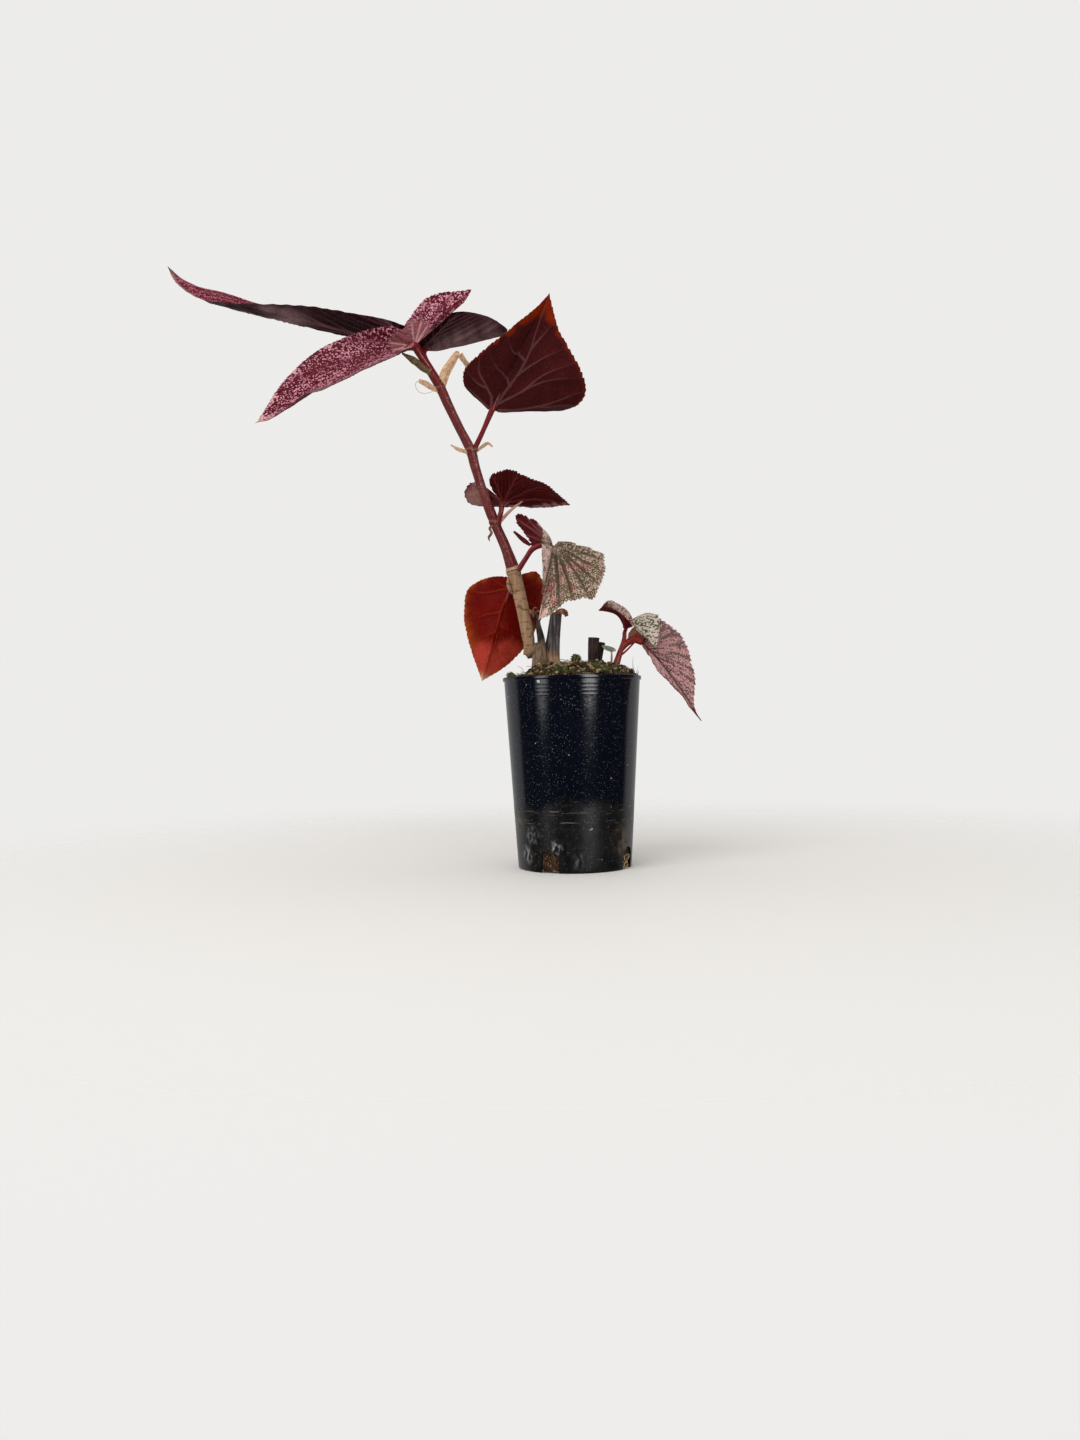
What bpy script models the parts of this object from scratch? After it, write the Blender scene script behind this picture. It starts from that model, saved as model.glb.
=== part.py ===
"""A red-caned begonia with speckled leaves, in a deep black nursery pot.

Places are in millimetres from the middle of the pot's base: X to the right, Y away from the
viewer and Z up. Each leaf is a blade that spreads from the point where its stalk joins it.
"""
import math

import bmesh
import bpy
from mathutils import Vector

MM = 0.001
UP = Vector((0, 0, 1))
WELD = 0.004
SHARP_ANGLE = 50

# The nursery pot
RIM_RADIUS = 42.4
POT_HEIGHT = 116.0
BASE_RADIUS = 34.6
POT_WALL = 1.2
POT_FLOOR = 1.8
POT_SIDES = 48
FOOT_BEVEL = 0.8
LIP_HEIGHT = 2.4
LIP_DEPTH = 0.7
LIP_BEVEL = 0.5
RING_HEIGHTS = (104.5, 106.7, 108.9, 111.1)
RING_DEPTH = 0.35
RING_HALF = 0.7
NOTCH_ANGLES = (-117, -27, 63, 153)
NOTCH_WIDTH = 11.5
NOTCH_HEIGHT = 13.5
NOTCH_DEPTH = 6.0
NOTCH_STEPS = 6
CUT_BELOW = 1.0

# The potting soil
SOIL_GAP = 0.3
SOIL_EDGE = 114.6
SOIL_RISE = 10.5
MOUND_X = 2
MOUND_Y = 1
MOUND_REACH = 41
LUMP_HEIGHT = 0.9
SOIL_SIDES = 40
SOIL_ROWS = 9
HOLE_GAP = 0.35

# The plant
BLADE = 0.7
PAPER = 0.6
TUBE_SIDES = 10
STALK_SIDES = 8
FINE_SIDES = 6
CURVE_STEPS = 12
MIDRIB_SPREAD = 0.7
CURLED_SECTORS = 5
STALK_SINK = 0.45
STALK_END_RADIUS = 0.45
SWELLING = 1.6


def clear_scene():
    for item in list(bpy.data.objects):
        bpy.data.objects.remove(item, do_unlink=True)


def material(name, colour, roughness):
    made = bpy.data.materials.new(name)
    made.use_nodes = True
    shader = made.node_tree.nodes["Principled BSDF"]
    shader.inputs["Base Color"].default_value = (*colour, 1)
    shader.inputs["Roughness"].default_value = roughness
    made.diffuse_color = (*colour, 1)
    return made


def add_object(name, corners, faces, skin=None):
    """An object with the given corners in millimetres, its faces turned outwards"""
    mesh = bpy.data.meshes.new(name)
    mesh.from_pydata([corner * MM for corner in corners], [], faces)
    work = bmesh.new()
    work.from_mesh(mesh)
    bmesh.ops.recalc_face_normals(work, faces=work.faces)
    work.to_mesh(mesh)
    work.free()
    mesh.shade_smooth()
    mesh.set_sharp_from_angle(angle=math.radians(SHARP_ANGLE))
    if skin:
        mesh.materials.append(skin)
    made = bpy.data.objects.new(name, mesh)
    bpy.context.scene.collection.objects.link(made)
    return made


def combine(target, others, operation):
    """Joins the other objects to the target, or cuts them out of it, and removes them

    Corners closer than WELD, which are left where surfaces meet at a flat angle, become one.
    """
    for other in others:
        step = target.modifiers.new("combine", "BOOLEAN")
        step.operation = operation
        step.solver = "EXACT"
        step.object = other
    view = bpy.context.evaluated_depsgraph_get()
    shape = bpy.data.meshes.new_from_object(target.evaluated_get(view))
    work = bmesh.new()
    work.from_mesh(shape)
    bmesh.ops.remove_doubles(work, verts=work.verts, dist=WELD * MM)
    work.to_mesh(shape)
    work.free()
    target.modifiers.clear()
    target.data = shape
    for other in others:
        bpy.data.objects.remove(other, do_unlink=True)
    return target


def between(before, start, end, after, share):
    """A place on the smooth curve from start to end that also heeds its neighbours"""
    square = share * share
    cube = square * share
    return 0.5 * (2 * start + (end - before) * share
                  + (2 * before - 5 * start + 4 * end - after) * square
                  + (3 * start - before - 3 * end + after) * cube)


def smooth_line(points, count):
    """Evenly spaced places on a smooth curve through the points"""
    ends = [2 * points[0] - points[1]] + list(points) + [2 * points[-1] - points[-2]]
    dense = []
    for i in range(len(points) - 1):
        dense += [between(*ends[i:i + 4], step / CURVE_STEPS) for step in range(CURVE_STEPS)]
    dense.append(points[-1])
    lengths = [0.0]
    for before, after in zip(dense, dense[1:]):
        lengths.append(lengths[-1] + (after - before).length)
    line = []
    place = 0
    for i in range(count + 1):
        wanted = lengths[-1] * i / count
        while place < len(dense) - 2 and lengths[place + 1] < wanted:
            place += 1
        share = (wanted - lengths[place]) / max(lengths[place + 1] - lengths[place], 1e-9)
        line.append(dense[place].lerp(dense[place + 1], min(share, 1.0)))
    return line


def read_at(values, share):
    """Reads a list of evenly spaced values at a share of its length"""
    spot = share * (len(values) - 1)
    low = min(int(spot), len(values) - 2)
    return values[low] + (values[low + 1] - values[low]) * (spot - low)


def tube(name, points, radii, rings, sides=TUBE_SIDES, skin=None, clearance=0.0):
    """A round stem along a smooth line, its radius read from an evenly spaced list

    The clearance makes a slightly wider and deeper copy, which cuts the hole for the stem.
    """
    line = smooth_line([Vector(point) for point in points], rings)
    line[0] = line[0] - (line[1] - line[0]).normalized() * clearance
    side = Vector((1, 0, 0.1)).normalized()
    corners = []
    for i, centre in enumerate(line):
        along = (line[min(i + 1, rings)] - line[max(i - 1, 0)]).normalized()
        side = (side - along * side.dot(along)).normalized()
        across = along.cross(side)
        radius = read_at(radii, i / rings) + clearance
        for j in range(sides):
            turn = 2 * math.pi * j / sides
            corners.append(centre + (side * math.cos(turn) + across * math.sin(turn)) * radius)
    faces = [tuple(range(sides)), tuple(range(rings * sides, (rings + 1) * sides))]
    for i in range(rings):
        for j in range(sides):
            nearer = i * sides
            further = nearer + sides
            after = (j + 1) % sides
            faces.append((nearer + j, nearer + after, further + after, further + j))
    return add_object(name, corners, faces, skin)


def turned(name, profile, sides, skin=None):
    """A solid turned round the Z axis from a profile that starts and ends on the axis"""
    corners = [Vector((0, 0, profile[0][1])), Vector((0, 0, profile[-1][1]))]
    for radius, height in profile[1:-1]:
        for j in range(sides):
            turn = 2 * math.pi * j / sides
            corners.append(Vector((radius * math.cos(turn), radius * math.sin(turn), height)))
    rows = len(profile) - 2
    faces = []
    for j in range(sides):
        after = (j + 1) % sides
        last = 2 + (rows - 1) * sides
        faces.append((0, 2 + j, 2 + after))
        faces.append((1, last + j, last + after))
        for i in range(rows - 1):
            row = 2 + i * sides
            faces.append((row + j, row + after, row + sides + after, row + sides + j))
    return add_object(name, corners, faces, skin)


def wall_radius(height):
    """The pot wall's outer radius, which widens evenly from the base to the rim"""
    return BASE_RADIUS + (RIM_RADIUS - LIP_DEPTH - BASE_RADIUS) * height / POT_HEIGHT


def pot_profile():
    """The pot's outline from the middle of its underside up, over the lip and down inside"""
    profile = [(0, 0), (BASE_RADIUS - FOOT_BEVEL, 0), (BASE_RADIUS, FOOT_BEVEL)]
    for height in RING_HEIGHTS:
        profile.append((wall_radius(height - RING_HALF), height - RING_HALF))
        profile.append((wall_radius(height) + RING_DEPTH, height))
        profile.append((wall_radius(height + RING_HALF), height + RING_HALF))
    lip = POT_HEIGHT - LIP_HEIGHT
    profile.append((wall_radius(lip), lip))
    profile.append((RIM_RADIUS, lip + LIP_BEVEL))
    profile.append((RIM_RADIUS, POT_HEIGHT - LIP_BEVEL))
    profile.append((RIM_RADIUS - LIP_BEVEL, POT_HEIGHT))
    profile.append((wall_radius(POT_HEIGHT) - POT_WALL, POT_HEIGHT))
    profile.append((wall_radius(POT_FLOOR) - POT_WALL, POT_FLOOR))
    profile.append((0, POT_FLOOR))
    return profile


def drain_notch(angle):
    """A cutter for one arched drain notch through the foot of the wall"""
    half = NOTCH_WIDTH / 2
    arch = [(-half, -CUT_BELOW)]
    for step in range(NOTCH_STEPS + 1):
        turn = math.pi * (1 - step / NOTCH_STEPS)
        arch.append((half * math.cos(turn), NOTCH_HEIGHT - half + half * math.sin(turn)))
    arch.append((half, -CUT_BELOW))
    outwards = Vector((math.cos(math.radians(angle)), math.sin(math.radians(angle)), 0))
    across = UP.cross(outwards)
    corners = []
    for reach in (BASE_RADIUS - NOTCH_DEPTH, BASE_RADIUS + NOTCH_DEPTH):
        corners += [outwards * reach + across * x + UP * z for x, z in arch]
    count = len(arch)
    faces = [tuple(range(count)), tuple(range(count, 2 * count))]
    for i in range(count):
        after = (i + 1) % count
        faces.append((i, after, count + after, count + i))
    return add_object("notch", corners, faces)


def nursery_pot():
    plastic = material("pot_plastic", (0.012, 0.014, 0.02), 0.25)
    pot = turned("nursery_pot", pot_profile(), POT_SIDES, plastic)
    combine(pot, [drain_notch(angle) for angle in NOTCH_ANGLES], "DIFFERENCE")


def soil_height(x, y):
    """A mound that is highest right of the middle, with crossing waves of small lumps"""
    inwards = max(0.0, 1 - math.hypot(x - MOUND_X, y - MOUND_Y) / MOUND_REACH)
    mound = SOIL_RISE * (1 - (1 - inwards) ** 4)
    lumps = math.sin(x * 0.55 + 1.3) * math.sin(y * 0.5) + 0.7 * math.sin(x * 0.9 - y * 0.75 + 2)
    return SOIL_EDGE + mound + LUMP_HEIGHT * lumps * min(1.0, 4 * inwards)


def potting_soil(cutters):
    earth = material("soil", (0.05, 0.03, 0.018), 0.95)
    low = POT_FLOOR + SOIL_GAP
    low_radius = wall_radius(low) - POT_WALL - SOIL_GAP
    top_radius = wall_radius(SOIL_EDGE) - POT_WALL - SOIL_GAP
    corners = [Vector((0, 0, low)), Vector((0, 0, soil_height(0, 0)))]
    for j in range(SOIL_SIDES):
        turn = 2 * math.pi * j / SOIL_SIDES
        way = Vector((math.cos(turn), math.sin(turn), 0))
        corners.append(way * low_radius + UP * low)
        for i in range(SOIL_ROWS):
            spot = way * top_radius * (1 - i / SOIL_ROWS)
            corners.append(spot + UP * (soil_height(spot.x, spot.y) if i else SOIL_EDGE))
    rows = SOIL_ROWS + 1
    faces = []
    for j in range(SOIL_SIDES):
        this = 2 + j * rows
        after = 2 + (j + 1) % SOIL_SIDES * rows
        faces.append((0, after, this))
        faces.append((1, this + rows - 1, after + rows - 1))
        for i in range(rows - 1):
            faces.append((this + i, after + i, after + i + 1))
            faces.append((this + i, after + i + 1, this + i + 1))
    soil = add_object("potting_soil", corners, faces, earth)
    combine(soil, cutters, "DIFFERENCE")


def blade_grid(hub, rim, rows, arch, cup, waves, wave_height, tip_curl):
    """Rows of places from the stalk's end out to each place of the rim

    The blade bulges less where its rim runs straight towards the stalk, so it never folds there.
    """
    sectors = len(rim) - 1
    normal = Vector()
    for before, after in zip(rim, rim[1:]):
        normal += (before - hub).cross(after - hub)
    normal.normalize()
    midrib = rim[sectors // 2] - hub
    grid = []
    for j, edge in enumerate(rim):
        round_leaf = 2 * j / sectors - 1
        near_midrib = math.exp(-((edge - hub).angle(midrib) / MIDRIB_SPREAD) ** 2)
        along = (rim[min(j + 1, sectors)] - rim[max(j - 1, 0)]).normalized()
        openness = along.cross((edge - hub).normalized()).length ** 2
        curl = Vector(tip_curl) * max(0.0, 1 - abs(round_leaf) * sectors / CURLED_SECTORS)
        column = []
        for i in range(1, rows + 1):
            out = i / rows
            rise = cup * math.sin(math.pi * out)
            rise += wave_height * out * out * math.cos(math.pi * waves * round_leaf)
            place = hub.lerp(edge, out)
            ridge = math.sin(math.pi * min((place - hub).length / midrib.length, 1.0))
            rise = rise * openness + arch * near_midrib * ridge
            column.append(place + normal * rise + curl * out ** 6)
        grid.append(column)
    return grid


def grid_normal(hub, grid, i, j):
    """The blade's own upward direction at one place of the grid"""
    before = grid[max(j - 1, 0)][i]
    after = grid[min(j + 1, len(grid) - 1)][i]
    inner = grid[j][i - 1] if i else hub
    outer = grid[j][min(i + 1, len(grid[j]) - 1)]
    return (outer - inner).cross(after - before).normalized()


def blade_solid(name, hub, grid, skin):
    """A thin solid from the grid, split into the same triangles on both faces

    It narrows to a point at the hub, where the stalk takes over.
    """
    rows = len(grid[0])
    upper = []
    lower = []
    for j, column in enumerate(grid):
        for i, place in enumerate(column):
            reach = 2 * (rows - i) - 1
            beside = range(max(j - reach, 0), min(j + reach, len(grid) - 1) + 1)
            lift = sum((grid_normal(hub, grid, i, k) for k in beside), Vector()).normalized()
            upper.append(place + lift * BLADE / 2)
            lower.append(place - lift * BLADE / 2)
    under = len(upper)
    faces = []
    for j in range(len(grid) - 1):
        this = 1 + j * rows
        after = this + rows
        faces.append((0, this, after))
        faces.append((0, under + after, under + this))
        for near, near_after in zip(range(this, after - 1), range(after, after + rows - 1)):
            for a, b, c in ((near, near + 1, near_after + 1), (near, near_after + 1, near_after)):
                faces.append((a, b, c))
                faces.append((under + a, under + c, under + b))
        edge = this + rows - 1
        edge_after = after + rows - 1
        faces.append((edge, under + edge, under + edge_after))
        faces.append((edge, under + edge_after, edge_after))
    for first in (1, 1 + (len(grid) - 1) * rows):
        faces.append((0, first, under + first))
        for a in range(first, first + rows - 1):
            faces.append((a, a + 1, under + a + 1))
            faces.append((a, under + a + 1, under + a))
    return add_object(name, [hub] + upper + lower, faces, skin)


def leaf(name, hub, first, tip, second, stalk, skin, stalk_radius=1.1, sectors=36, rows=4,
         arch=0.0, cup=0.0, waves=7, wave_height=0.0, teeth=0.5, tip_curl=(0, 0, 0)):
    """One toothed leaf: its margin runs from beside the stalk to the tip and back

    Seen from above the leaf, the margin runs anticlockwise, so the first side is on the left
    of someone who looks from the tip to the stalk.
    """
    hub = Vector(hub)
    tip = Vector(tip)
    half = sectors // 2
    rim = smooth_line([Vector(point) for point in first] + [tip], half)
    rim += smooth_line([tip] + [Vector(point) for point in second], half)[1:]
    for j in range(1, sectors, 2):
        rim[j] = rim[j] + (hub - rim[j]).normalized() * teeth
    grid = blade_grid(hub, rim, rows, arch, cup, waves, wave_height, tip_curl)
    blade = blade_solid(name, hub, grid, skin)
    if stalk:
        sink = -grid_normal(hub, grid, 0, half) * STALK_SINK
        ending = [hub, grid[half][0].lerp(hub, 0.4) + sink]
        radii = [stalk_radius, stalk_radius * 0.9, stalk_radius * SWELLING, STALK_END_RADIUS]
        rod = tube("stalk", list(stalk) + ending, radii, 9, STALK_SIDES)
        combine(blade, [rod], "UNION")
    return blade


def long_leaf():
    """The longest leaf, level and seen almost edge-on, with one large lobe behind its stalk"""
    far_side = [(-85, 22, 327), (-90, 38, 335), (-112, 50, 342), (-140, 54, 352),
                (-180, 48, 360), (-211, 32, 366), (-222, 25, 367), (-235, 15, 367)]
    near_side = [(-237, -3, 360), (-215, -18, 344), (-178, -30, 337), (-147, -32, 334),
                 (-126, -26, 332), (-107, -8, 334), (-98, -2, 333), (-88, 0, 333),
                 (-67, -1, 341), (-49, -8, 336), (-38, -11, 328), (-37, -5, 326),
                 (-54, 4, 327)]
    leaf("leaf_long", (-90, 12, 322.5), far_side, (-240, 6, 365), near_side,
         [(-87.3, -1.6, 313.8), (-88.5, 5, 318)], material("leaf_dark_red", (0.09, 0.02, 0.03), 0.45),
         sectors=52, rows=5, arch=-0.5, cup=-0.5, waves=11, wave_height=0.5, tip_curl=(-6, 0, 9))


def pink_leaf():
    """The speckled leaf that hangs to the left, with its lobe standing up beside the stem"""
    lobe_side = [(-61, -7, 345), (-57, -7, 352), (-63, -6, 352),
                 (-83, -7, 349), (-96, -10, 333), (-99, -14, 327), (-108, -18, 328),
                 (-132, -22, 322), (-151, -30, 305), (-165, -40, 286)]
    low_side = [(-161, -71, 259), (-147, -78, 266), (-130, -80, 271), (-113, -70, 283),
                (-99, -50, 297)]
    leaf("leaf_pink", (-92, -8.5, 318), lobe_side, (-176, -60, 258), low_side,
         [(-89.2, -6, 312.8)], material("leaf_pink", (0.32, 0.07, 0.13), 0.5), sectors=52, rows=5,
         arch=3, cup=2, waves=11, wave_height=0.5)


def upper_red_leaf():
    """The broad dark red leaf that shows its underside, its tip up"""
    left_side = [(-57, -11, 286), (-62, -17, 291), (-61, -26, 298), (-52, -32, 304),
                 (-28, -32, 322), (-16, -30, 333)]
    right_side = [(-5, -24, 322), (1, -20, 312), (9, -12, 300), (12, -4, 290), (8, 4, 285),
                  (-3, 12, 283), (-23, 12, 284)]
    leaf("leaf_red_upper", (-46, -8, 278), left_side, (-10, -30, 340), right_side,
         [(-54.9, -3.1, 258.1), (-51, -6, 266)], material("leaf_wine", (0.13, 0.012, 0.02), 0.4),
         arch=3, cup=1, waves=7, wave_height=0.7)


def middle_leaf():
    """The lopsided leaf half-way up, with one lobe behind the cane"""
    near_side = [(-46, -10, 230), (-48, -20, 233), (-45, -28, 236), (-36, -34, 236),
                 (-26, -36, 232), (-9, -30, 224)]
    far_side = [(-10, -8, 218), (-20, 6, 221), (-30, 14, 224), (-43, 22, 225), (-55, 26, 227),
                (-63, 22, 230), (-65, 18, 234), (-59, 12, 237)]
    leaf("leaf_red_middle", (-40, -4, 223), near_side, (0, -22, 217), far_side,
         [(-41.9, -3.5, 212.2), (-41, -5, 217)], material("leaf_dark_wine", (0.11, 0.015, 0.022), 0.4),
         stalk_radius=1.0, arch=3, cup=1, waves=7, wave_height=0.6)


def silver_leaf():
    """The folded silver-green leaf, its pleats spread from the stalk"""
    left_side = [(-28, 3, 201), (-35, 5, 207), (-33, 3, 215), (-25, -4, 214),
                 (-18, -16, 206), (-18, -28, 191), (-18, -42, 173), (-18, -48, 156)]
    right_side = [(-10, -50, 151), (-2, -48, 157), (11, -44, 158), (16, -38, 166), (20, -28, 176),
                  (20, -18, 187), (13, -6, 193), (3, 2, 198), (-6, 0, 199)]
    leaf("leaf_silver", (-10, -9, 195), left_side, (-20, -48, 146), right_side,
         [(-30.75, -3.3, 183), (-25, -7, 190), (-18, -9, 194)],
         material("leaf_silver", (0.26, 0.2, 0.19), 0.55), stalk_radius=1.2, sectors=48, rows=4,
         arch=2, cup=1, waves=15, wave_height=0.9)


def orange_leaf():
    """The thin orange-red leaf that hangs behind the foot of the cane"""
    right_side = [(-29, 13, 182), (-20, 15, 183), (-15, 19, 172), (-16, 22, 159), (-22, 20, 146),
                  (-31, 18, 133), (-42, 17, 123)]
    left_side = [(-63, 20, 135), (-66.5, 24, 149), (-67.5, 26, 161), (-65.5, 26, 173),
                 (-58, 24, 179), (-47, 18, 181), (-41, 13, 179)]
    leaf("leaf_orange", (-37, 9, 172), right_side, (-56, 16, 115), left_side,
         [(-35, 5.3, 180), (-36, 8, 177)], material("leaf_orange", (0.35, 0.045, 0.02), 0.4),
         arch=-2, cup=-2, waves=7, wave_height=0.8)


def small_leaf():
    """The small leaf of the side shoot: a folded blade, and a silver lobe spread to the right

    The lobe's outline starts at its own tip, because its near edge runs straight to the stalk.
    """
    pale = material("leaf_pale", (0.3, 0.24, 0.22), 0.5)
    far_side = [(38, -3, 150), (36.5, -1, 154), (33, -1, 158), (28, -3, 160.5), (22, -8, 161.5)]
    near_side = [(20, -20, 158), (29, -22, 153.5), (34, -19, 149.5), (37, -14, 146.5)]
    blade = leaf("leaf_small", (33, -8, 144.5), far_side, (16, -14, 155), near_side, [], pale,
                 sectors=24, rows=3, arch=2.5, waves=5, wave_height=0.2, teeth=0.3)
    lobe = leaf("lobe", (36, -9, 148.5), [(50, -22, 133), (53.5, -16, 143)], (54, -11, 152),
                [(46, -5, 154), (40, -5, 150.5)], [], pale,
                sectors=20, rows=3, arch=0.5, waves=5, wave_height=0.3, teeth=0.3)
    rib = tube("rib", [(32.5, -5.8, 142.9), (33, -7.8, 144.4), (36, -9.2, 148.2), (42, -11, 147)],
               [0.8, 0.8, 0.5], 6, FINE_SIDES)
    combine(blade, [rib, lobe], "UNION")


def drooping_leaf():
    """The pink leaf of the side shoot that hangs down beside the pot"""
    low_side = [(43, -20, 131), (46, -26, 125), (50, -28, 117), (55, -26, 111), (63, -21, 103),
                (71, -15, 94)]
    high_side = [(73, -11, 97), (74, -8, 111), (73, -5, 121), (72, -2, 131), (66, 2, 143),
                 (61, 5, 148), (55, 6, 152), (46, 4, 149)]
    leaf("leaf_drooping", (43.5, -7, 135), low_side, (78, -13, 88), high_side,
         [], material("leaf_rose", (0.3, 0.1, 0.13), 0.5), arch=2, cup=2, waves=7, wave_height=0.6)


def crown(clearance=0.0):
    """The old foot of the plant, with a thin dead stem on top"""
    return tube("crown", [(-19.5, -1, 108), (-20, -1, 120), (-20.5, 0, 130), (-20.5, 1, 138),
                          (-21, 2, 148), (-22, 2, 157)],
                [4.6, 4.6, 4.4, 3.6, 1.6, 1.6], 12, clearance=clearance)


def main_cane():
    """The cane with its four swollen joints, grown from the crown"""
    cane = tube("main_cane",
                [(-26.5, 1, 130), (-26, 1, 138), (-29, 0, 155), (-32, 0, 170), (-34.5, 0, 181),
                 (-39, 0, 196), (-44, 0, 210), (-50, -1, 228), (-55, -2, 245), (-58, -2, 256),
                 (-65, -2, 270), (-72, -2, 284), (-77, -2, 294), (-83, -3, 304), (-88, -3.5, 313)],
                [3.0, 3.9, 3.8, 3.9, 4.3, 3.1, 2.9, 3.1, 2.75, 2.75, 3.1, 2.6, 2.6, 2.9, 2.3, 1.8],
                30, skin=material("cane", (0.22, 0.03, 0.035), 0.4))
    combine(cane, [crown()], "UNION")


def grey_stub(clearance=0.0):
    """A thick dead stem, cut off short"""
    return tube("grey_stub", [(-12.5, 9, 110), (-12.5, 9, 128), (-11, 9, 142), (-9.5, 8, 157.5)],
                [5.4, 5.2, 3.7, 3.1], 6, clearance=clearance)


def tall_stub(clearance=0.0):
    return tube("black_stub", [(12, 4, 110), (13, 4, 124), (14, 4, 139.5)], [2.7, 2.8, 3.3], 4,
                STALK_SIDES, clearance=clearance)


def short_stub(clearance=0.0):
    return tube("short_stub", [(14, 5, 110), (16, 6, 124), (19, 7, 137.5)], [2.2, 2.0, 1.8], 4,
                STALK_SIDES, clearance=clearance)


def stubs():
    """The dead stems: a grey one, and two black ones that split from one foot"""
    grey_stub().data.materials.append(material("dead_wood", (0.3, 0.26, 0.22), 0.9))
    pair = combine(tall_stub(), [short_stub()], "UNION")
    pair.data.materials.append(material("black_wood", (0.03, 0.025, 0.025), 0.8))


def shoot_stem(clearance=0.0):
    return tube("side_shoot", [(25, -4, 112), (26.5, -4, 121), (29, -4, 129), (32, -5, 138),
                               (32.4, -5.6, 142)],
                [2.3, 2.1, 1.8, 1.3, 1.0], 8, STALK_SIDES, clearance=clearance)


def side_shoot():
    """The side shoot, with the stalk of its drooping leaf and a thin twig"""
    arm = tube("arm", [(30, -4, 131.5), (34, -5, 136), (38.5, -6, 138), (42.9, -6.9, 135.8)],
               [1.2, 1.0, 0.9, 0.9], 6, STALK_SIDES)
    twig = tube("twig", [(28.6, -4, 127.5), (33.5, -5, 131.5), (38.5, -6, 136.5)],
                [0.7, 0.6, 0.5], 3, FINE_SIDES)
    shoot = combine(shoot_stem(), [arm, twig], "UNION")
    shoot.data.materials.append(material("shoot", (0.3, 0.03, 0.04), 0.4))


def seedling_stalk(clearance=0.0):
    return tube("seedling_stalk", [(23.5, -9, 115), (24, -9, 126), (24, -9, 131)], [0.6, 0.5, 0.5],
                3, FINE_SIDES, clearance=clearance)


def seedling():
    """A pale seedling that has come up beside the shoot"""
    blade = leaf("seedling", (24, -9, 130.6), [(27, -9.5, 131), (26, -6, 133), (22, -5.5, 134.5)],
                 (18, -9, 134.5), [(20, -11.5, 132), (23, -11, 131)], [],
                 material("seedling", (0.35, 0.42, 0.33), 0.6), sectors=12, rows=2, teeth=0.0)
    combine(blade, [seedling_stalk()], "UNION")


def soil_cutters():
    """Slightly wider copies of every stem that stands in the soil"""
    stems = (crown, grey_stub, tall_stub, short_stub, shoot_stem, seedling_stalk)
    return [stem(HOLE_GAP) for stem in stems]


def ribbon(name, points, widths, across, skin, steps=8):
    """A narrow papery strip along a smooth line"""
    line = smooth_line([Vector(point) for point in points], steps)
    across = Vector(across).normalized()
    corners = []
    for i, centre in enumerate(line):
        along = (line[min(i + 1, steps)] - line[max(i - 1, 0)]).normalized()
        side = (across - along * across.dot(along)).normalized()
        lift = along.cross(side) * PAPER / 2
        reach = side * read_at(widths, i / steps) / 2
        corners += [centre - reach - lift, centre + reach - lift, centre + reach + lift,
                    centre - reach + lift]
    faces = [(0, 1, 2, 3), tuple(range(4 * steps, 4 * steps + 4))]
    for i in range(steps):
        for j in range(4):
            near = 4 * i + j
            after = 4 * i + (j + 1) % 4
            faces.append((near, after, after + 4))
            faces.append((near, after + 4, near + 4))
    return add_object(name, corners, faces, skin)


def stipules():
    """The dry papery scales that stand at the joints of the cane"""
    paper = material("dry_paper", (0.62, 0.48, 0.34), 0.8)
    ribbon("stipule_top_left", [(-80.5, -3.5, 293.5), (-85, -7, 295), (-90.5, -10, 297)],
           [2.4, 3.6, 1.6], (0.2, 0.3, 1), paper)
    ribbon("stipule_top_right", [(-73.6, -2, 296.5), (-71, -3, 304), (-66.5, -4, 314), (-63, -1, 312),
                                 (-59, 2, 308)], [3.4, 5.2, 5.0, 3.6, 4.4], (1, 0.3, -0.4), paper, 12)
    ribbon("stipule_mid_left", [(-61.2, -3.9, 254.7), (-66, -8, 255), (-71, -11, 257)],
           [2.2, 2.6, 0.9], (0.2, 0.3, 1), paper)
    ribbon("stipule_mid_right", [(-55.3, 0.6, 256.5), (-50, 7, 262), (-46.5, 9, 260.5)],
           [2.0, 2.6, 1.0], (0.4, 0.2, 1), paper)
    ribbon("stipule_low", [(-47.2, -2, 209), (-49, -4, 205), (-49.5, -4, 200)],
           [2.0, 2.6, 1.0], (1, 0.3, 0.2), paper)
    ribbon("bud_sheath", [(-85.8, -6.2, 306.6), (-92, -11, 309.5), (-99, -14, 311.5)],
           [2.0, 3.6, 1.0], (0.3, 0.5, 1), material("sheath", (0.16, 0.1, 0.04), 0.6))
    ribbon("shoot_scale", [(36.4, -4.2, 138.8), (38.5, -4.2, 141.5), (42, -5, 143)],
           [3.0, 5.5, 3.0], (0.8, 0, -0.6), paper)


clear_scene()
nursery_pot()
potting_soil(soil_cutters())
main_cane()
stubs()
side_shoot()
seedling()
long_leaf()
pink_leaf()
upper_red_leaf()
middle_leaf()
silver_leaf()
orange_leaf()
small_leaf()
drooping_leaf()
stipules()
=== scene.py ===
"""The looks of the potted begonia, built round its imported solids.

Places are in millimetres, as in the part's source: X to the right, Y away from the viewer and
Z up from the middle of the pot's base. The pieces keep to the solids within a few millimetres,
in finer meshes, and have the teeth, veins, pleats, crumbs and moss that the solids leave out.
"""
import math
import random

import bmesh
import bpy
import numpy as np
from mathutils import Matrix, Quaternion, Vector, kdtree, noise


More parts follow.
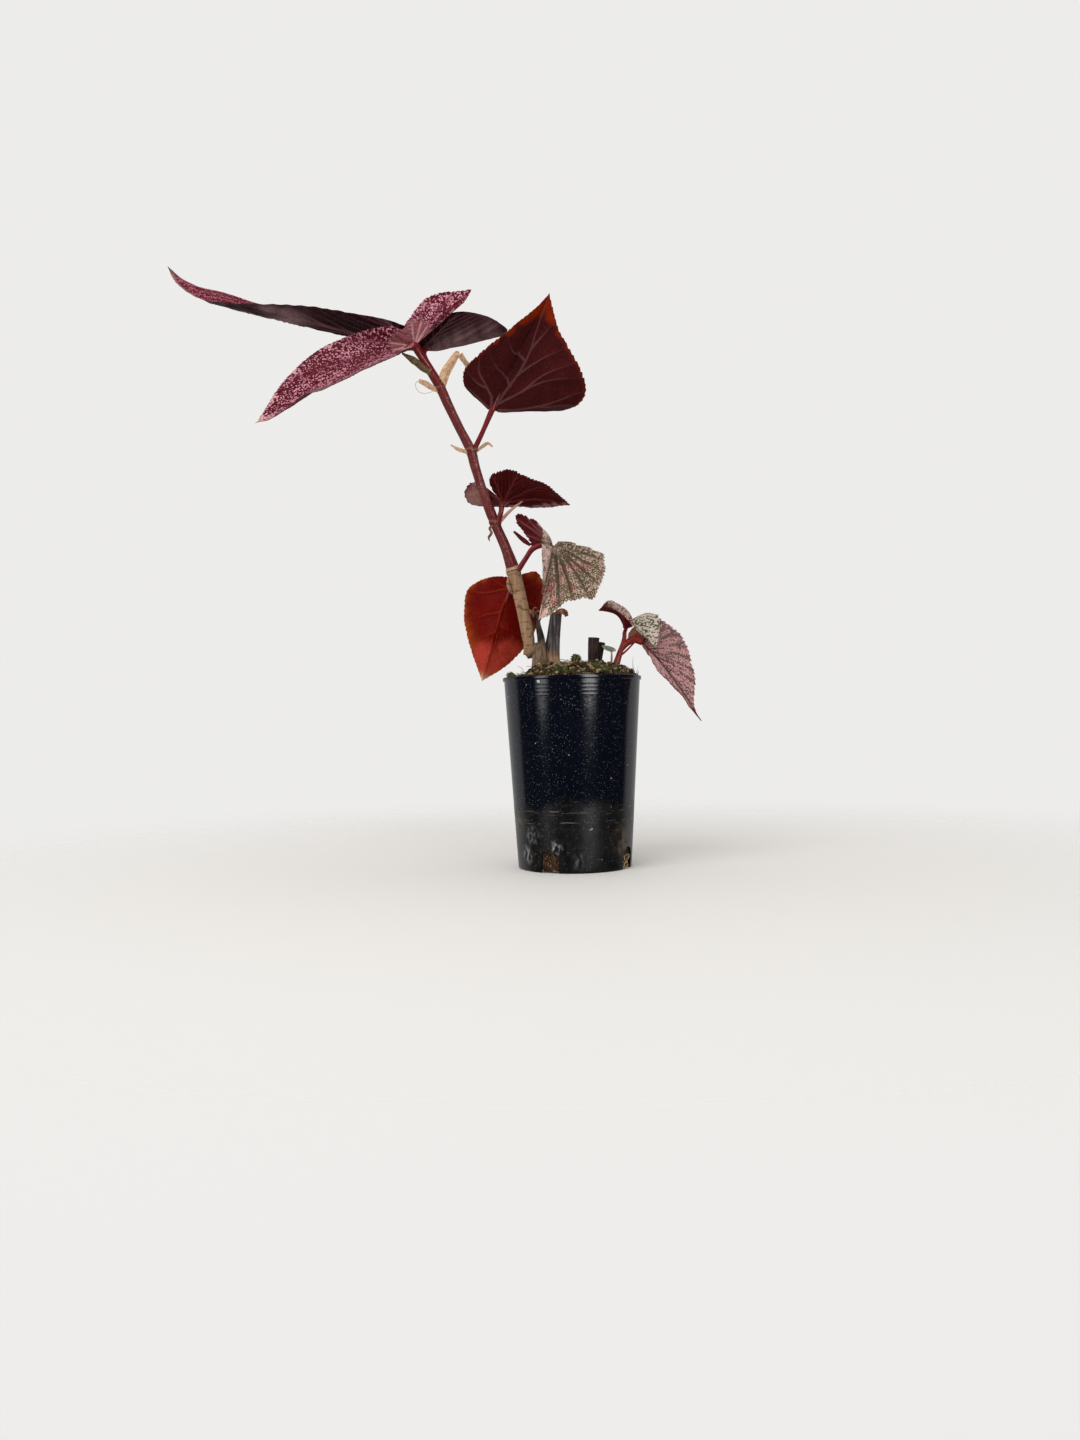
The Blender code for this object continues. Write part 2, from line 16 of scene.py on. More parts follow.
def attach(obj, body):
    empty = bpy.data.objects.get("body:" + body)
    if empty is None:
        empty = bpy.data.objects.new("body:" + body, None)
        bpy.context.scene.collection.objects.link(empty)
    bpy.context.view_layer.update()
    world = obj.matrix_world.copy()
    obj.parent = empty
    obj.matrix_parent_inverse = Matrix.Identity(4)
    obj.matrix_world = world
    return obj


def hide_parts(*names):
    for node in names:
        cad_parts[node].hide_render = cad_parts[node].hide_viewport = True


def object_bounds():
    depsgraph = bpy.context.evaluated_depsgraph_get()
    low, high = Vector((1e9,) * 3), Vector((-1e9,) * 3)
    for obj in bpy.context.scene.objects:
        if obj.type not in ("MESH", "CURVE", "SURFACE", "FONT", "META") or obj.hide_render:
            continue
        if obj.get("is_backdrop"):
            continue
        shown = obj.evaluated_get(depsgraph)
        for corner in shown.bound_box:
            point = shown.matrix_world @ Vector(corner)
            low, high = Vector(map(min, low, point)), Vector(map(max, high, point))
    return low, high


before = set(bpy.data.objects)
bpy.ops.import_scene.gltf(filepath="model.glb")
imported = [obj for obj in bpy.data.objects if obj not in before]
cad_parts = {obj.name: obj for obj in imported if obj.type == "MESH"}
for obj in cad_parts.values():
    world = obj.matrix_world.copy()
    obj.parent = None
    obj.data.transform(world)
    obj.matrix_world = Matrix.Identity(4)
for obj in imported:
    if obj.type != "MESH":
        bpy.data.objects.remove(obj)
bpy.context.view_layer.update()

MM = 0.001
UP = np.array((0.0, 0.0, 1.0))
BODY = "root"
FULL_TURN = 2 * math.pi

# The camera
PICTURE_HEIGHT = 1440
FOCAL_PIXELS = 1085
SENSOR = 36
CAMERA_PLACE = (-20, -666, 90)
CAMERA_ROLL = 1

# The floor
FLOOR_RADIUS = 2200
FLOOR_SIDES = 96

# The nursery pot
RIM_RADIUS = 42.4
POT_HEIGHT = 116.0
BASE_RADIUS = 34.6
POT_WALL = 1.2
POT_FLOOR = 1.8
FOOT_BEVEL = 0.8
LIP_HEIGHT = 2.4
LIP_DEPTH = 0.7
LIP_BEVEL = 0.5
RING_HEIGHTS = (104.5, 106.7, 108.9, 111.1)
RING_RISE = 0.0105
RING_HALF = 0.7
NOTCH_ANGLES = (-117, -27, 63, 153)
NOTCH_WIDTH = 11.5
NOTCH_HEIGHT = 13.5
NOTCH_DEPTH = 6.0
NOTCH_STEPS = 16
BEVEL_STEPS = 4
POT_SIDES = 192
POT_SHARP_ANGLE = 40

# The potting soil
SOIL_GAP = 0.3
SOIL_EDGE = 114.6
SOIL_RISE = 10.5
MOUND_X = 2
MOUND_Y = 1
MOUND_REACH = 41
LUMP_HEIGHT = 0.9
SETTLED = 1.4
SOIL_SIDES = 180
SOIL_ROWS = 60
SOIL_WALL_ROWS = 9
SOIL_SEED = 5
CRUMBS = 1250
CRUMB_REACH = 38.5
FIBRES = 110
FIBRE_REACH = 37
FIBRE_END_REACH = 40
SPROUTS = 90
NOTCH_CRUMBS = 70
NOTCH_ROOTS = 26
ANY_TURN = 6.28
EARTH, COIR, ROOT, PERLITE, MOSS, RED_COIR, TAN, OLIVE = range(8)

# The joints of the cane, from the bottom up
JOINTS = (181, 212, 256, 294)
JOINT_WIDTH = 1.3

# The leaves, stems and strips
CURVE_STEPS = 40
BLADE = 0.5
SHARP_ANGLE = 60
LEAF_SEED = 1
MIDRIB_SPREAD = 0.7
CURL_NARROWNESS = 32.5
CURL_POWER = 18.75
RIPPLE = 0.11
STRIP_STEPS = 44
STRIP_COLUMNS = 11
VEIN_STEPS = 400
BENT_VEIN_STEPS = 300
BRANCH_STEPS = 140
STALK_RINGS = 40
STALK_SIDES = 16


class Value:
    """A number or colour that comes out of a node, with short calls for what is done to it"""

    def __init__(self, paint, socket):
        self.paint = paint
        self.socket = socket

    def maths(self, operation, other=0.0):
        return self.paint.node("ShaderNodeMath", {0: self, 1: other}, operation=operation)

    def __add__(self, other):
        return self.maths("ADD", other)

    def __sub__(self, other):
        return self.maths("SUBTRACT", other)

    def __mul__(self, other):
        return self.maths("MULTIPLY", other)

    def __abs__(self):
        return self.maths("ABSOLUTE")

    def most(self, other):
        return self.maths("MAXIMUM", other)

    def step(self, low, high):
        """Rises smoothly from 0 at the low value to 1 at the high one"""
        return self.paint.node("ShaderNodeMapRange", {"Value": self, "From Min": low, "From Max": high},
                               interpolation_type="SMOOTHSTEP")

    def mix(self, first, second):
        """The first colour where this value is 0, and the second where it is 1"""
        return self.paint.mix(self, first, second)

    def beside(self, output):
        """Another output of the same node"""
        return Value(self.paint, self.socket.node.outputs[output])

    def luck(self):
        """A number drawn for each cell"""
        return self.paint.node("ShaderNodeSeparateColor", {0: self.beside("Color")})


class Paint:
    """A Principled material, with short calls for the nodes that colour it"""

    def __init__(self, name, roughness=0.5, specular=0.5):
        self.material = bpy.data.materials.new(name)
        self.material.use_nodes = True
        self.tree = self.material.node_tree
        self.shader = self.tree.nodes["Principled BSDF"]
        self.shader.inputs["Roughness"].default_value = roughness
        self.shader.inputs["Specular IOR Level"].default_value = specular
        self.place = self.node("ShaderNodeTexCoord", output="Object")

    def feed(self, socket, value):
        if isinstance(value, Value):
            self.tree.links.new(value.socket, socket)
        elif socket.type == "RGBA":
            socket.default_value = (*value, 1)
        else:
            socket.default_value = value

    def node(self, kind, inputs=None, output=0, **settings):
        made = self.tree.nodes.new(kind)
        for name, value in settings.items():
            setattr(made, name, value)
        for name, value in (inputs or {}).items():
            self.feed(made.inputs[name], value)
        return Value(self, made.outputs[output])

    def mark(self, name):
        """A number that the mesh holds for each of its corners"""
        return self.node("ShaderNodeAttribute", output="Fac", attribute_name=name)

    def mix(self, share, first, second, blend="MIX"):
        return self.node("ShaderNodeMix", {0: share, 6: first, 7: second}, 2, data_type="RGBA",
                         blend_type=blend)

    def scaled(self, x, y, z):
        return self.node("ShaderNodeMapping", {"Vector": self.place, "Scale": (x, y, z)})

    def vector(self, operation, inputs, output=0):
        return self.node("ShaderNodeVectorMath", inputs, output, operation=operation)

    def warped(self, size, amount):
        """The object's own places, pushed about by noise of the given size in millimetres"""
        push = self.noise(size, 2, output="Color")
        centred = self.vector("SUBTRACT", {0: push, 1: (0.5, 0.5, 0.5)})
        scaled = self.vector("SCALE", {0: centred, "Scale": amount * MM})
        return self.vector("ADD", {0: self.place, 1: scaled})

    def noise(self, size, detail=2.0, vector=None, output=0):
        """Soft noise with blots of about the given size in millimetres"""
        inputs = {"Vector": vector or self.place, "Scale": 1 / (size * MM), "Detail": detail}
        return self.node("ShaderNodeTexNoise", inputs, output)

    def cells(self, size, vector=None, feature="F1"):
        """The distance from the middle or the edge of cells of about the given size in millimetres"""
        inputs = {"Vector": vector or self.place, "Scale": 1 / (size * MM)}
        return self.node("ShaderNodeTexVoronoi", inputs, "Distance", feature=feature)

    def height(self):
        return self.node("ShaderNodeSeparateXYZ", {0: self.place}, "Z")

    def near(self, x, y, z, size):
        """1 at the place in millimetres, and 0 from the given distance onwards"""
        gap = self.vector("DISTANCE", {0: self.place, 1: (x * MM, y * MM, z * MM)}, "Value")
        return gap.step(size * MM, 0.0)

    def bump(self, value, depth):
        """Raises the surface by up to the depth in millimetres where the value is 1"""
        raised = self.node("ShaderNodeBump", {"Height": value, "Distance": depth * MM})
        self.feed(self.shader.inputs["Normal"], raised)

    def done(self, colour, roughness=None):
        self.feed(self.shader.inputs["Base Color"], colour)
        if roughness is not None:
            self.feed(self.shader.inputs["Roughness"], roughness)
        return self.material


class Sky(Paint):
    """The world's nodes, with the same short calls"""

    def __init__(self, world):
        world.use_nodes = True
        self.tree = world.node_tree
        self.shader = self.tree.nodes["Background"]


def times(share, colour):
    return tuple(share * value for value in colour)


def speckled(name, ground, dots, tint_colour, vein_colour, hub_colour, edge, dot_size=1.15, cover=0.48,
             roughness=0.5, mask_colour=None, hub_size=9.0, vein_share=0.75, row=1.7, rowed=0.1,
             clear=1.0, broken=0.48, pale_colour=(0.6, 0.36, 0.36)):
    """A leaf's top: a dark ground under rows of pale dots that follow the veins, and sunk veins"""
    paint = Paint(name, roughness, 0.12)
    vein = paint.mark("vein")
    reach = paint.mark("reach")
    tint = paint.mark("tint")
    pale = paint.mark("pale")
    density = paint.noise(8, 3)
    rows = (paint.mark("gap") * (FULL_TURN / row)).maths("SINE")
    size = (density - 0.5) * 0.55 + cover + rows * rowed + pale * 0.3
    dot = (paint.cells(dot_size, paint.warped(2.5, 0.5)) - size).step(0.07, -0.05)
    light = paint.noise(1.7, 2).mix(times(0.65, dots), times(1.3, dots))
    tinted = tint * 0.7 + (paint.noise(0.9, 1) - 0.5) * 2.6
    light = (tinted.step(0.3, 0.6) * tint.step(0.1, 0.4)).mix(light, tint_colour)
    light = pale.mix(light, pale_colour)
    colour = paint.noise(6, 3).mix(times(0.5, ground), times(1.6, ground))
    colour = dot.mix(colour, light)
    shown = vein.step(0.1, 0.5) * reach.step(0.0, clear)
    shown = shown * paint.noise(1.3, 2).step(broken - 0.4, broken)
    colour = (shown * vein_share).mix(colour, vein_colour)
    near_hub = (reach + density * 6.0).step(hub_size + 5, hub_size)
    colour = (near_hub * 0.85).mix(colour, hub_colour)
    colour = (near_hub * vein.step(0.25, 0.7) * 0.6).mix(colour, pale_colour)
    colour = (paint.mark("out").step(0.982, 0.999) * 0.6).mix(colour, edge)
    # Mask blots: the colour of a tip or an edge, and on the pink leaf a painted grazing sheen along its lower
    # margin
    if mask_colour:
        masked = paint.mark("mask") + (density - 0.5) * 0.5
        colour = (masked.step(0.3, 0.7) * 0.85).mix(colour, mask_colour)
    paint.bump(dot * 0.6 - vein, 0.3)
    return paint.done(colour)


def underside(name, ground, vein_colour, edge, mask_colour=None, roughness=0.45, specular=0.03,
              netting=0.2, tint_colour=(0.13, 0.06, 0.07), pale_colour=(0.6, 0.42, 0.24)):
    """A leaf's underside: smooth and dark, with raised paler veins and a tinted margin"""
    paint = Paint(name, roughness, specular)
    blots = paint.noise(11, 3)
    grain = paint.noise(1.6, 3)
    colour = blots.mix(times(0.6, ground), times(2.0, ground))
    colour = (grain.step(0.4, 0.75) * 0.35).mix(colour, times(2.2, ground))
    net = paint.cells(2.4, paint.warped(5, 2), "DISTANCE_TO_EDGE").step(0.09, 0.02)
    colour = (net * netting).mix(colour, vein_colour)
    # Tint blots: a painted grey-mauve sheen on the long leaf, and painted glow of light through the orange
    # leaf
    colour = (paint.mark("tint") * 0.8).mix(colour, tint_colour)
    # Mask blots: the colour of a tip or an edge, a painted mauve-grey sheen on the middle leaf, and painted
    # glow of light through the orange leaf
    if mask_colour:
        masked = paint.mark("mask") + (blots - 0.5) * 0.6
        colour = masked.step(0.25, 0.85).mix(colour, mask_colour)
    colour = (paint.mark("out").step(0.94, 0.995) * 0.6).mix(colour, edge)
    colour = paint.mark("pale").mix(colour, pale_colour)
    colour = (paint.mark("vein").step(0.12, 0.55) * 0.75).mix(colour, vein_colour)
    colour = paint.mix(0.55, colour, paint.noise(1.0, 4) * 2.0, "MULTIPLY")
    paint.bump(net * 0.4 + grain, 0.22)
    return paint.done(colour)


def red_stalk(name, light, dark):
    paint = Paint(name, 0.33)
    streaks = paint.noise(1.5, 3, paint.scaled(1, 1, 0.12))
    paint.bump(streaks, 0.15)
    return paint.done(streaks.mix(dark, light))


def bark(name, dark, light, stretch=1, size=1.0, roughness=0.8, foot=None, foot_height=0, depth=0.4):
    """Bark with streaks along the stem, and another colour up to the height of its foot in metres"""
    paint = Paint(name, roughness)
    streaks = paint.noise(size, 4, paint.scaled(1, 1, stretch))
    blots = paint.noise(6, 2)
    colour = streaks.step(0.36, 0.64).mix(dark, light)
    colour = (blots.step(0.5, 0.7) * 0.5).mix(colour, dark)
    if foot:
        low = (paint.height() + blots * 0.008).step(foot_height + 0.006, foot_height - 0.002)
        colour = low.mix(colour, streaks.step(0.3, 0.6).mix(times(0.5, foot), times(1.25, foot)))
    paint.bump(streaks, depth)
    return paint.done(colour)


def paper_skin(name, dark, light, stain):
    """Dry papery skin with fibres that run along the strip"""
    paint = Paint(name, 0.7, 0.25)
    way = paint.node("ShaderNodeCombineXYZ", {"X": paint.mark("along") * 0.35,
                                              "Y": paint.mark("across") * 4.0})
    fibres = paint.node("ShaderNodeTexNoise", {"Vector": way, "Scale": 1.6, "Detail": 3})
    colour = fibres.step(0.3, 0.7).mix(dark, light)
    colour = (paint.noise(3, 2).step(0.52, 0.7) * 0.6).mix(colour, stain)
    paint.bump(fibres, 0.15)
    return paint.done(colour)


def smooth_line(points, count):
    """Evenly spaced places on a smooth curve through the points"""
    points = np.array(points, float)
    ends = np.vstack([2 * points[0] - points[1], points, 2 * points[-1] - points[-2]])
    share = np.linspace(0, 1, CURVE_STEPS, endpoint=False)[:, None]
    dense = []
    for before, start, end, after in zip(ends, ends[1:], ends[2:], ends[3:]):
        dense.append(0.5 * (2 * start + (end - before) * share
                            + (2 * before - 5 * start + 4 * end - after) * share ** 2
                            + (3 * start - before - 3 * end + after) * share ** 3))
    dense = np.vstack(dense + [points[-1:]])
    lengths = np.concatenate([[0], np.cumsum(np.linalg.norm(np.diff(dense, axis=0), axis=1))])
    return at_shares(dense, np.linspace(0, lengths[-1], count + 1), lengths)


def at_shares(line, wanted, known):
    """Places between those of a line, for the wanted numbers where the known ones are the line's own"""
    return np.stack([np.interp(wanted, known, line[:, k]) for k in range(3)], axis=1)


def unit(vectors):
    return vectors / np.maximum(np.linalg.norm(vectors, axis=-1, keepdims=True), 1e-9)


def ring(radius, height, sides):
    turns = [FULL_TURN * j / sides for j in range(sides)]
    return [(radius * math.cos(turn), radius * math.sin(turn), height) for turn in turns]


def link(thing):
    bpy.context.scene.collection.objects.link(thing)
    return thing


class Build:
    """Collects corners and faces in millimetres, and then makes one object of them"""

    def __init__(self):
        self.corners = []
        self.faces = []
        self.slots = []
        self.marks = []

    def add(self, corners, faces, slot=0, **marks):
        """Adds one part, with an optional number for each of its corners under each mark's name"""
        start = len(self.corners)
        self.corners += [tuple(float(value) for value in corner) for corner in corners]
        self.faces += [tuple(start + int(i) for i in face) for face in faces]
        self.slots += [slot] * len(faces)
        for name, values in marks.items():
            self.marks.append((name, start, np.broadcast_to(values, len(corners))))

    def object(self, name):
        mesh = bpy.data.meshes.new(name)
        mesh.from_pydata((np.array(self.corners) * MM).tolist(), [], self.faces)
        return link(bpy.data.objects.new(name, mesh))

    def make(self, name, skins, record_slot, *nodes):
        made = self.object(name)
        mesh = made.data
        mesh.polygons.foreach_set("material_index", self.slots)
        for skin in skins:
            mesh.materials.append(skin)
        for mark in sorted({mark for mark, _, _ in self.marks}):
            values = np.zeros(len(self.corners), np.float32)
            for name_here, start, part in self.marks:
                if name_here == mark:
                    values[start:start + len(part)] = part
            mesh.attributes.new(mark, "FLOAT", "POINT").data.foreach_set("value", values)
        mesh.shade_smooth()
        mesh.set_sharp_from_angle(angle=math.radians(SHARP_ANGLE))
        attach(made, BODY)
        if nodes:
            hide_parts(*nodes)
        return made

    def tube(self, points, radii, rings, sides, slot=0, ripple=None):
        """A stem with closed ends along a smooth line

        The ripple, a function of the turns, the share of the length and the height, scales its radius.
        """
        line = smooth_line(points, rings)
        along = unit(np.gradient(line, axis=0))
        share = np.linspace(0, 1, rings + 1)
        radius = np.interp(share, np.linspace(0, 1, len(radii)), radii)
        turns = FULL_TURN * np.arange(sides) / sides
        side = np.array((1.0, 0.0, 0.1))
        corners = []
        for i in range(rings + 1):
            side = unit(side - along[i] * side.dot(along[i]))
            across = np.cross(along[i], side)
            scale = ripple(turns, share[i], line[i][2]) if ripple else np.ones(sides)
            circle = np.outer(np.cos(turns) * scale, side) + np.outer(np.sin(turns) * scale, across)
            corners.append(line[i] + circle * radius[i])
        first = sides * (rings + 1)
        faces = []
        for near in range(rings * sides):
            beside = near + 1 if (near + 1) % sides else near + 1 - sides
            faces.append((near, beside, beside + sides, near + sides))
        for j in range(sides):
            after = (j + 1) % sides
            faces += [(first, after, j), (first + 1, rings * sides + j, rings * sides + after)]
        marks = np.concatenate([np.repeat(share, sides), [0, 1]])
        self.add(np.vstack(corners + [line[:1], line[-1:]]), faces, slot, along=marks)

    def sheet(self, grid, thickness, slot=0, **marks):
        """A thin skin on a grid of places, closed round its edge"""
        rows, columns = grid.shape[:2]
        lift = unit(np.cross(np.gradient(grid, axis=0), np.gradient(grid, axis=1))) * thickness / 2
        under = rows * columns
        faces = []
        for i in range(rows - 1):
            for near in range(i * columns, (i + 1) * columns - 1):
                far = near + columns
                faces.append((near, far, far + 1, near + 1))
                faces.append((near + under, near + 1 + under, far + 1 + under, far + under))
        border = list(range(columns)) + list(range(2 * columns - 1, under, columns))
        border += list(range(under - 2, under - columns - 1, -1))
        border += list(range(under - 2 * columns, 0, -columns))
        for near, after in zip(border, border[1:] + border[:1]):
            faces.append((near, after, after + under, near + under))
        self.add(np.vstack([(grid + lift).reshape(-1, 3), (grid - lift).reshape(-1, 3)]), faces, slot,
                 **{name: np.tile(np.ravel(values), 2) for name, values in marks.items()})

    def ribbon(self, points, widths, across, cup=0.25, fray=0.06, thickness=0.22, seed=1, slot=0):
        """A papery strip along a smooth line, cupped across, with creases and an uneven edge"""
        line = smooth_line(points, STRIP_STEPS)
        along = unit(np.gradient(line, axis=0))
        across = np.array(across, float)
        side = unit(across - along * (along @ across)[:, None])
        share = np.linspace(0, 1, STRIP_STEPS + 1)
        half = np.interp(share, np.linspace(0, 1, len(widths)), widths) / 2
        spread = np.linspace(-1, 1, STRIP_COLUMNS)
        draw = random.Random(seed)
        ragged = np.array([[1 + fray * draw.uniform(-1, 0.3) for _ in spread] for _ in share])
        wide = np.outer(half, spread) * np.where(np.abs(spread) > 0.9, ragged, 1)
        crease = np.array([[noise.noise(Vector((4 * s, 2.5 * t, seed))) for t in spread] for s in share])
        raised = np.outer(half, cup * spread ** 2) + 0.2 * crease * half[:, None]
        lift = np.cross(along, side)
        grid = line[:, None] + side[:, None] * wide[..., None] + lift[:, None] * raised[..., None]
        self.sheet(grid, thickness, slot, along=np.repeat(share * len(points) * 4, STRIP_COLUMNS),
                   across=np.tile(spread, STRIP_STEPS + 1))

    def turned(self, low, high, rings, sides):
        """A closed form round the upright axis: the heights of its two ends, and its rings in order"""
        last = (len(rings) - 1) * sides
        faces = []
        for j in range(sides):
            this = 2 + j
            after = 2 + (j + 1) % sides
            faces.append((0, after, this))
            for i in range(0, last, sides):
                faces.append((this + i, after + i, after + i + sides, this + i + sides))
            faces.append((1, this + last, after + last))
        self.add([(0, 0, low), (0, 0, high)] + sum(rings, []), faces)

    def lump(self, centre, size, seed, slot=0, rough=0.35, flat=0.8):
        """A small uneven crumb"""
        mesh = bmesh.new()
        bmesh.ops.create_icosphere(mesh, subdivisions=2, radius=1)
        turn = random.Random(seed).uniform(0, ANY_TURN)
        corners = []
        for vertex in mesh.verts:
            place = vertex.co * (1 + rough * noise.noise(vertex.co * 1.7 + Vector((seed, 0, 0)))
                                 + 0.4 * rough * noise.noise(vertex.co * 4 + Vector((0, seed, 0))))
            x = place.x * math.cos(turn) - place.y * math.sin(turn) * 0.8
            y = place.x * math.sin(turn) + place.y * math.cos(turn) * 0.8
            corners.append((centre[0] + size * x, centre[1] + size * y, centre[2] + size * flat * place.z))
        self.add(corners, [[vertex.index for vertex in face.verts] for face in mesh.faces], slot)
        mesh.free()

    def sprout(self, foot, way, draw, length):
        """One tiny pointed moss leaf"""
        side = way.orthogonal().normalized()
        side.rotate(Quaternion(way, draw.uniform(0, ANY_TURN)))
        tip = foot + (way + 0.5 * side.cross(way)).normalized() * length
        middle = foot.lerp(tip, 0.45) + way * 0.15 * length
        wide = side * length * 0.24
        self.add([foot, middle + wide, tip, middle - wide, middle - way * 0.12 * length],
                 [(0, 1, 2, 3), (0, 3, 4), (3, 2, 4), (2, 1, 4), (1, 0, 4)], MOSS)


class Blade:
    """The surface of one leaf as a grid: row by row outwards, and round from side to side"""

    def __init__(self, hub, first, tip, second, arch, cup, waves, wave_height, tip_curl, rim_step, row_step):
        self.hub = np.array(hub, float)
        tip = np.array(tip, float)
        sides = [list(first) + [tip], [tip] + list(second)]
        reach = sum(np.linalg.norm(np.diff(np.array(side, float), axis=0), axis=1).sum() for side in sides)
        half = int(reach / rim_step / 2)
        self.rows = int(np.linalg.norm(tip - self.hub) / row_step)
        rim = np.vstack([smooth_line(sides[0], half), smooth_line(sides[1], half)[1:]])
        self.columns = len(rim)
        self.turn = np.linspace(-1, 1, self.columns)
        self.spokes = rim - self.hub
        normal = unit(np.cross(self.spokes[:-1], self.spokes[1:]).sum(axis=0))
        midrib = self.spokes[half]
        cosine = (self.spokes * midrib).sum(axis=1) / np.linalg.norm(self.spokes, axis=1)
        angle = np.arccos(np.clip(cosine / np.linalg.norm(midrib), -1, 1))
        near_midrib = np.exp(-(angle / MIDRIB_SPREAD) ** 2)
        along = unit(np.gradient(rim, axis=0))
        openness = np.linalg.norm(np.cross(along, unit(self.spokes)), axis=1) ** 2
        curl = np.outer(np.maximum(0, 1 - np.abs(self.turn) * CURL_NARROWNESS), tip_curl)
        out = (np.arange(1, self.rows + 1) / self.rows)[:, None]
        self.out = out
        self.flat = self.hub + self.spokes[None] * out[..., None]
        distance = np.linalg.norm(self.flat - self.hub, axis=2) / np.linalg.norm(midrib)
        rise = cup * np.sin(np.pi * out) + wave_height * out ** 2 * np.cos(np.pi * waves * self.turn)
        rise = rise * openness + arch * near_midrib * np.sin(np.pi * np.minimum(distance, 1))
        self.grid = self.flat + normal * rise[..., None] + curl[None] * (out ** CURL_POWER)[..., None]

    def normals(self):
        """The upward direction at each place of the grid"""
        with_hub = np.concatenate([np.broadcast_to(self.hub, (1, self.columns, 3)), self.grid])
        return unit(np.cross(np.gradient(with_hub, axis=0)[1:], np.gradient(self.grid, axis=1)))

    def at(self, turn, out):
        """Places on the surface for shares of the way round, from -1 to 1, and of the way out"""
        column = np.clip((np.asarray(turn) + 1) / 2 * (self.columns - 1), 0, self.columns - 1.001)
        row = np.clip(np.asarray(out) * self.rows - 1, 0, self.rows - 1.001)
        low_column = column.astype(int)
        low_row = row.astype(int)
        beside = (column - low_column)[:, None]
        beyond = (row - low_row)[:, None]
        near, far = (self.grid[low_row + k, low_column] * (1 - beside)
                     + self.grid[low_row + k, low_column + 1] * beside for k in range(2))
        return near * (1 - beyond) + far * beyond

    def vein_lines(self, mains, branches):
        """The veins as lists of turn, share of the way out and strength

        A main vein is a turn, for a straight vein from the stalk to the margin with branches,
        a list of turns and shares of the way out, for a vein that bends, or a tuple of the turn
        and share where a branch leaves its vein and the turn where it ends.
        """
        lines = []
        for main in mains:
            if isinstance(main, tuple):
                lines += self.branch(*main)
            if isinstance(main, list):
                line = smooth_line([(turn, out, 0) for turn, out in main], BENT_VEIN_STEPS)
                fade = np.linspace(1, 0.35, len(line)) * (1.0 if main[0][1] < 0.1 else 0.75)
                lines.append((line[:, 0], np.minimum(line[:, 1], 0.98), fade))
        straight = [main for main in mains if not isinstance(main, (list, tuple))]
        borders = [-1] + [(a + b) / 2 for a, b in zip(straight, straight[1:])] + [1]
        for k, main in enumerate(straight):
            out = np.linspace(0.02, 0.97, VEIN_STEPS)
            lines.append((np.full_like(out, main), out, 1 - 0.6 * out))
            for border in (borders[k], borders[k + 1]):
                for b in range(branches):
                    start = 0.1 + 0.8 * (b + (0.5 if border > main else 0.1)) / branches
                    end = main + (border - main) * 0.97 * (1 - (b + 0.2) / (branches + 0.3))
                    lines += self.branch(main, start, end)
        return lines

    def branch(self, main, start, end):
        """A straight side vein from a place on a main vein to the margin, if it stays on the leaf"""
        turns = np.linspace(main, end, BRANCH_STEPS)
        there = at_shares(self.spokes, turns, self.turn)
        way = there[-1] * 0.96 - there[0] * start
        flank = np.cross(np.cross(there[0], there[-1]), way)
        across = there @ flank
        reach = (there[0] * start).dot(flank) / np.where(np.abs(across) < 1e-6, 1e-6, across)
        if reach.min() < 0 or reach.max() > 1.1:
            return []
        return [(turns, reach, 0.62 * (1 - 0.65 * np.linspace(0, 1, BRANCH_STEPS)))]

    def blots(self, places):
        """How near each place of the grid is to soft round blots of (turn, way out, size)"""
        near = np.zeros(self.grid.shape[:2])
        for turn, out, size in places:
            centre = self.at(np.array([turn]), np.array([out]))[0]
            near = np.maximum(near, np.exp(-(np.linalg.norm(self.grid - centre, axis=2) / size) ** 2))
        return near


STALK_RED = red_stalk("stalk_red", (0.23, 0.012, 0.014), (0.09, 0.006, 0.008))


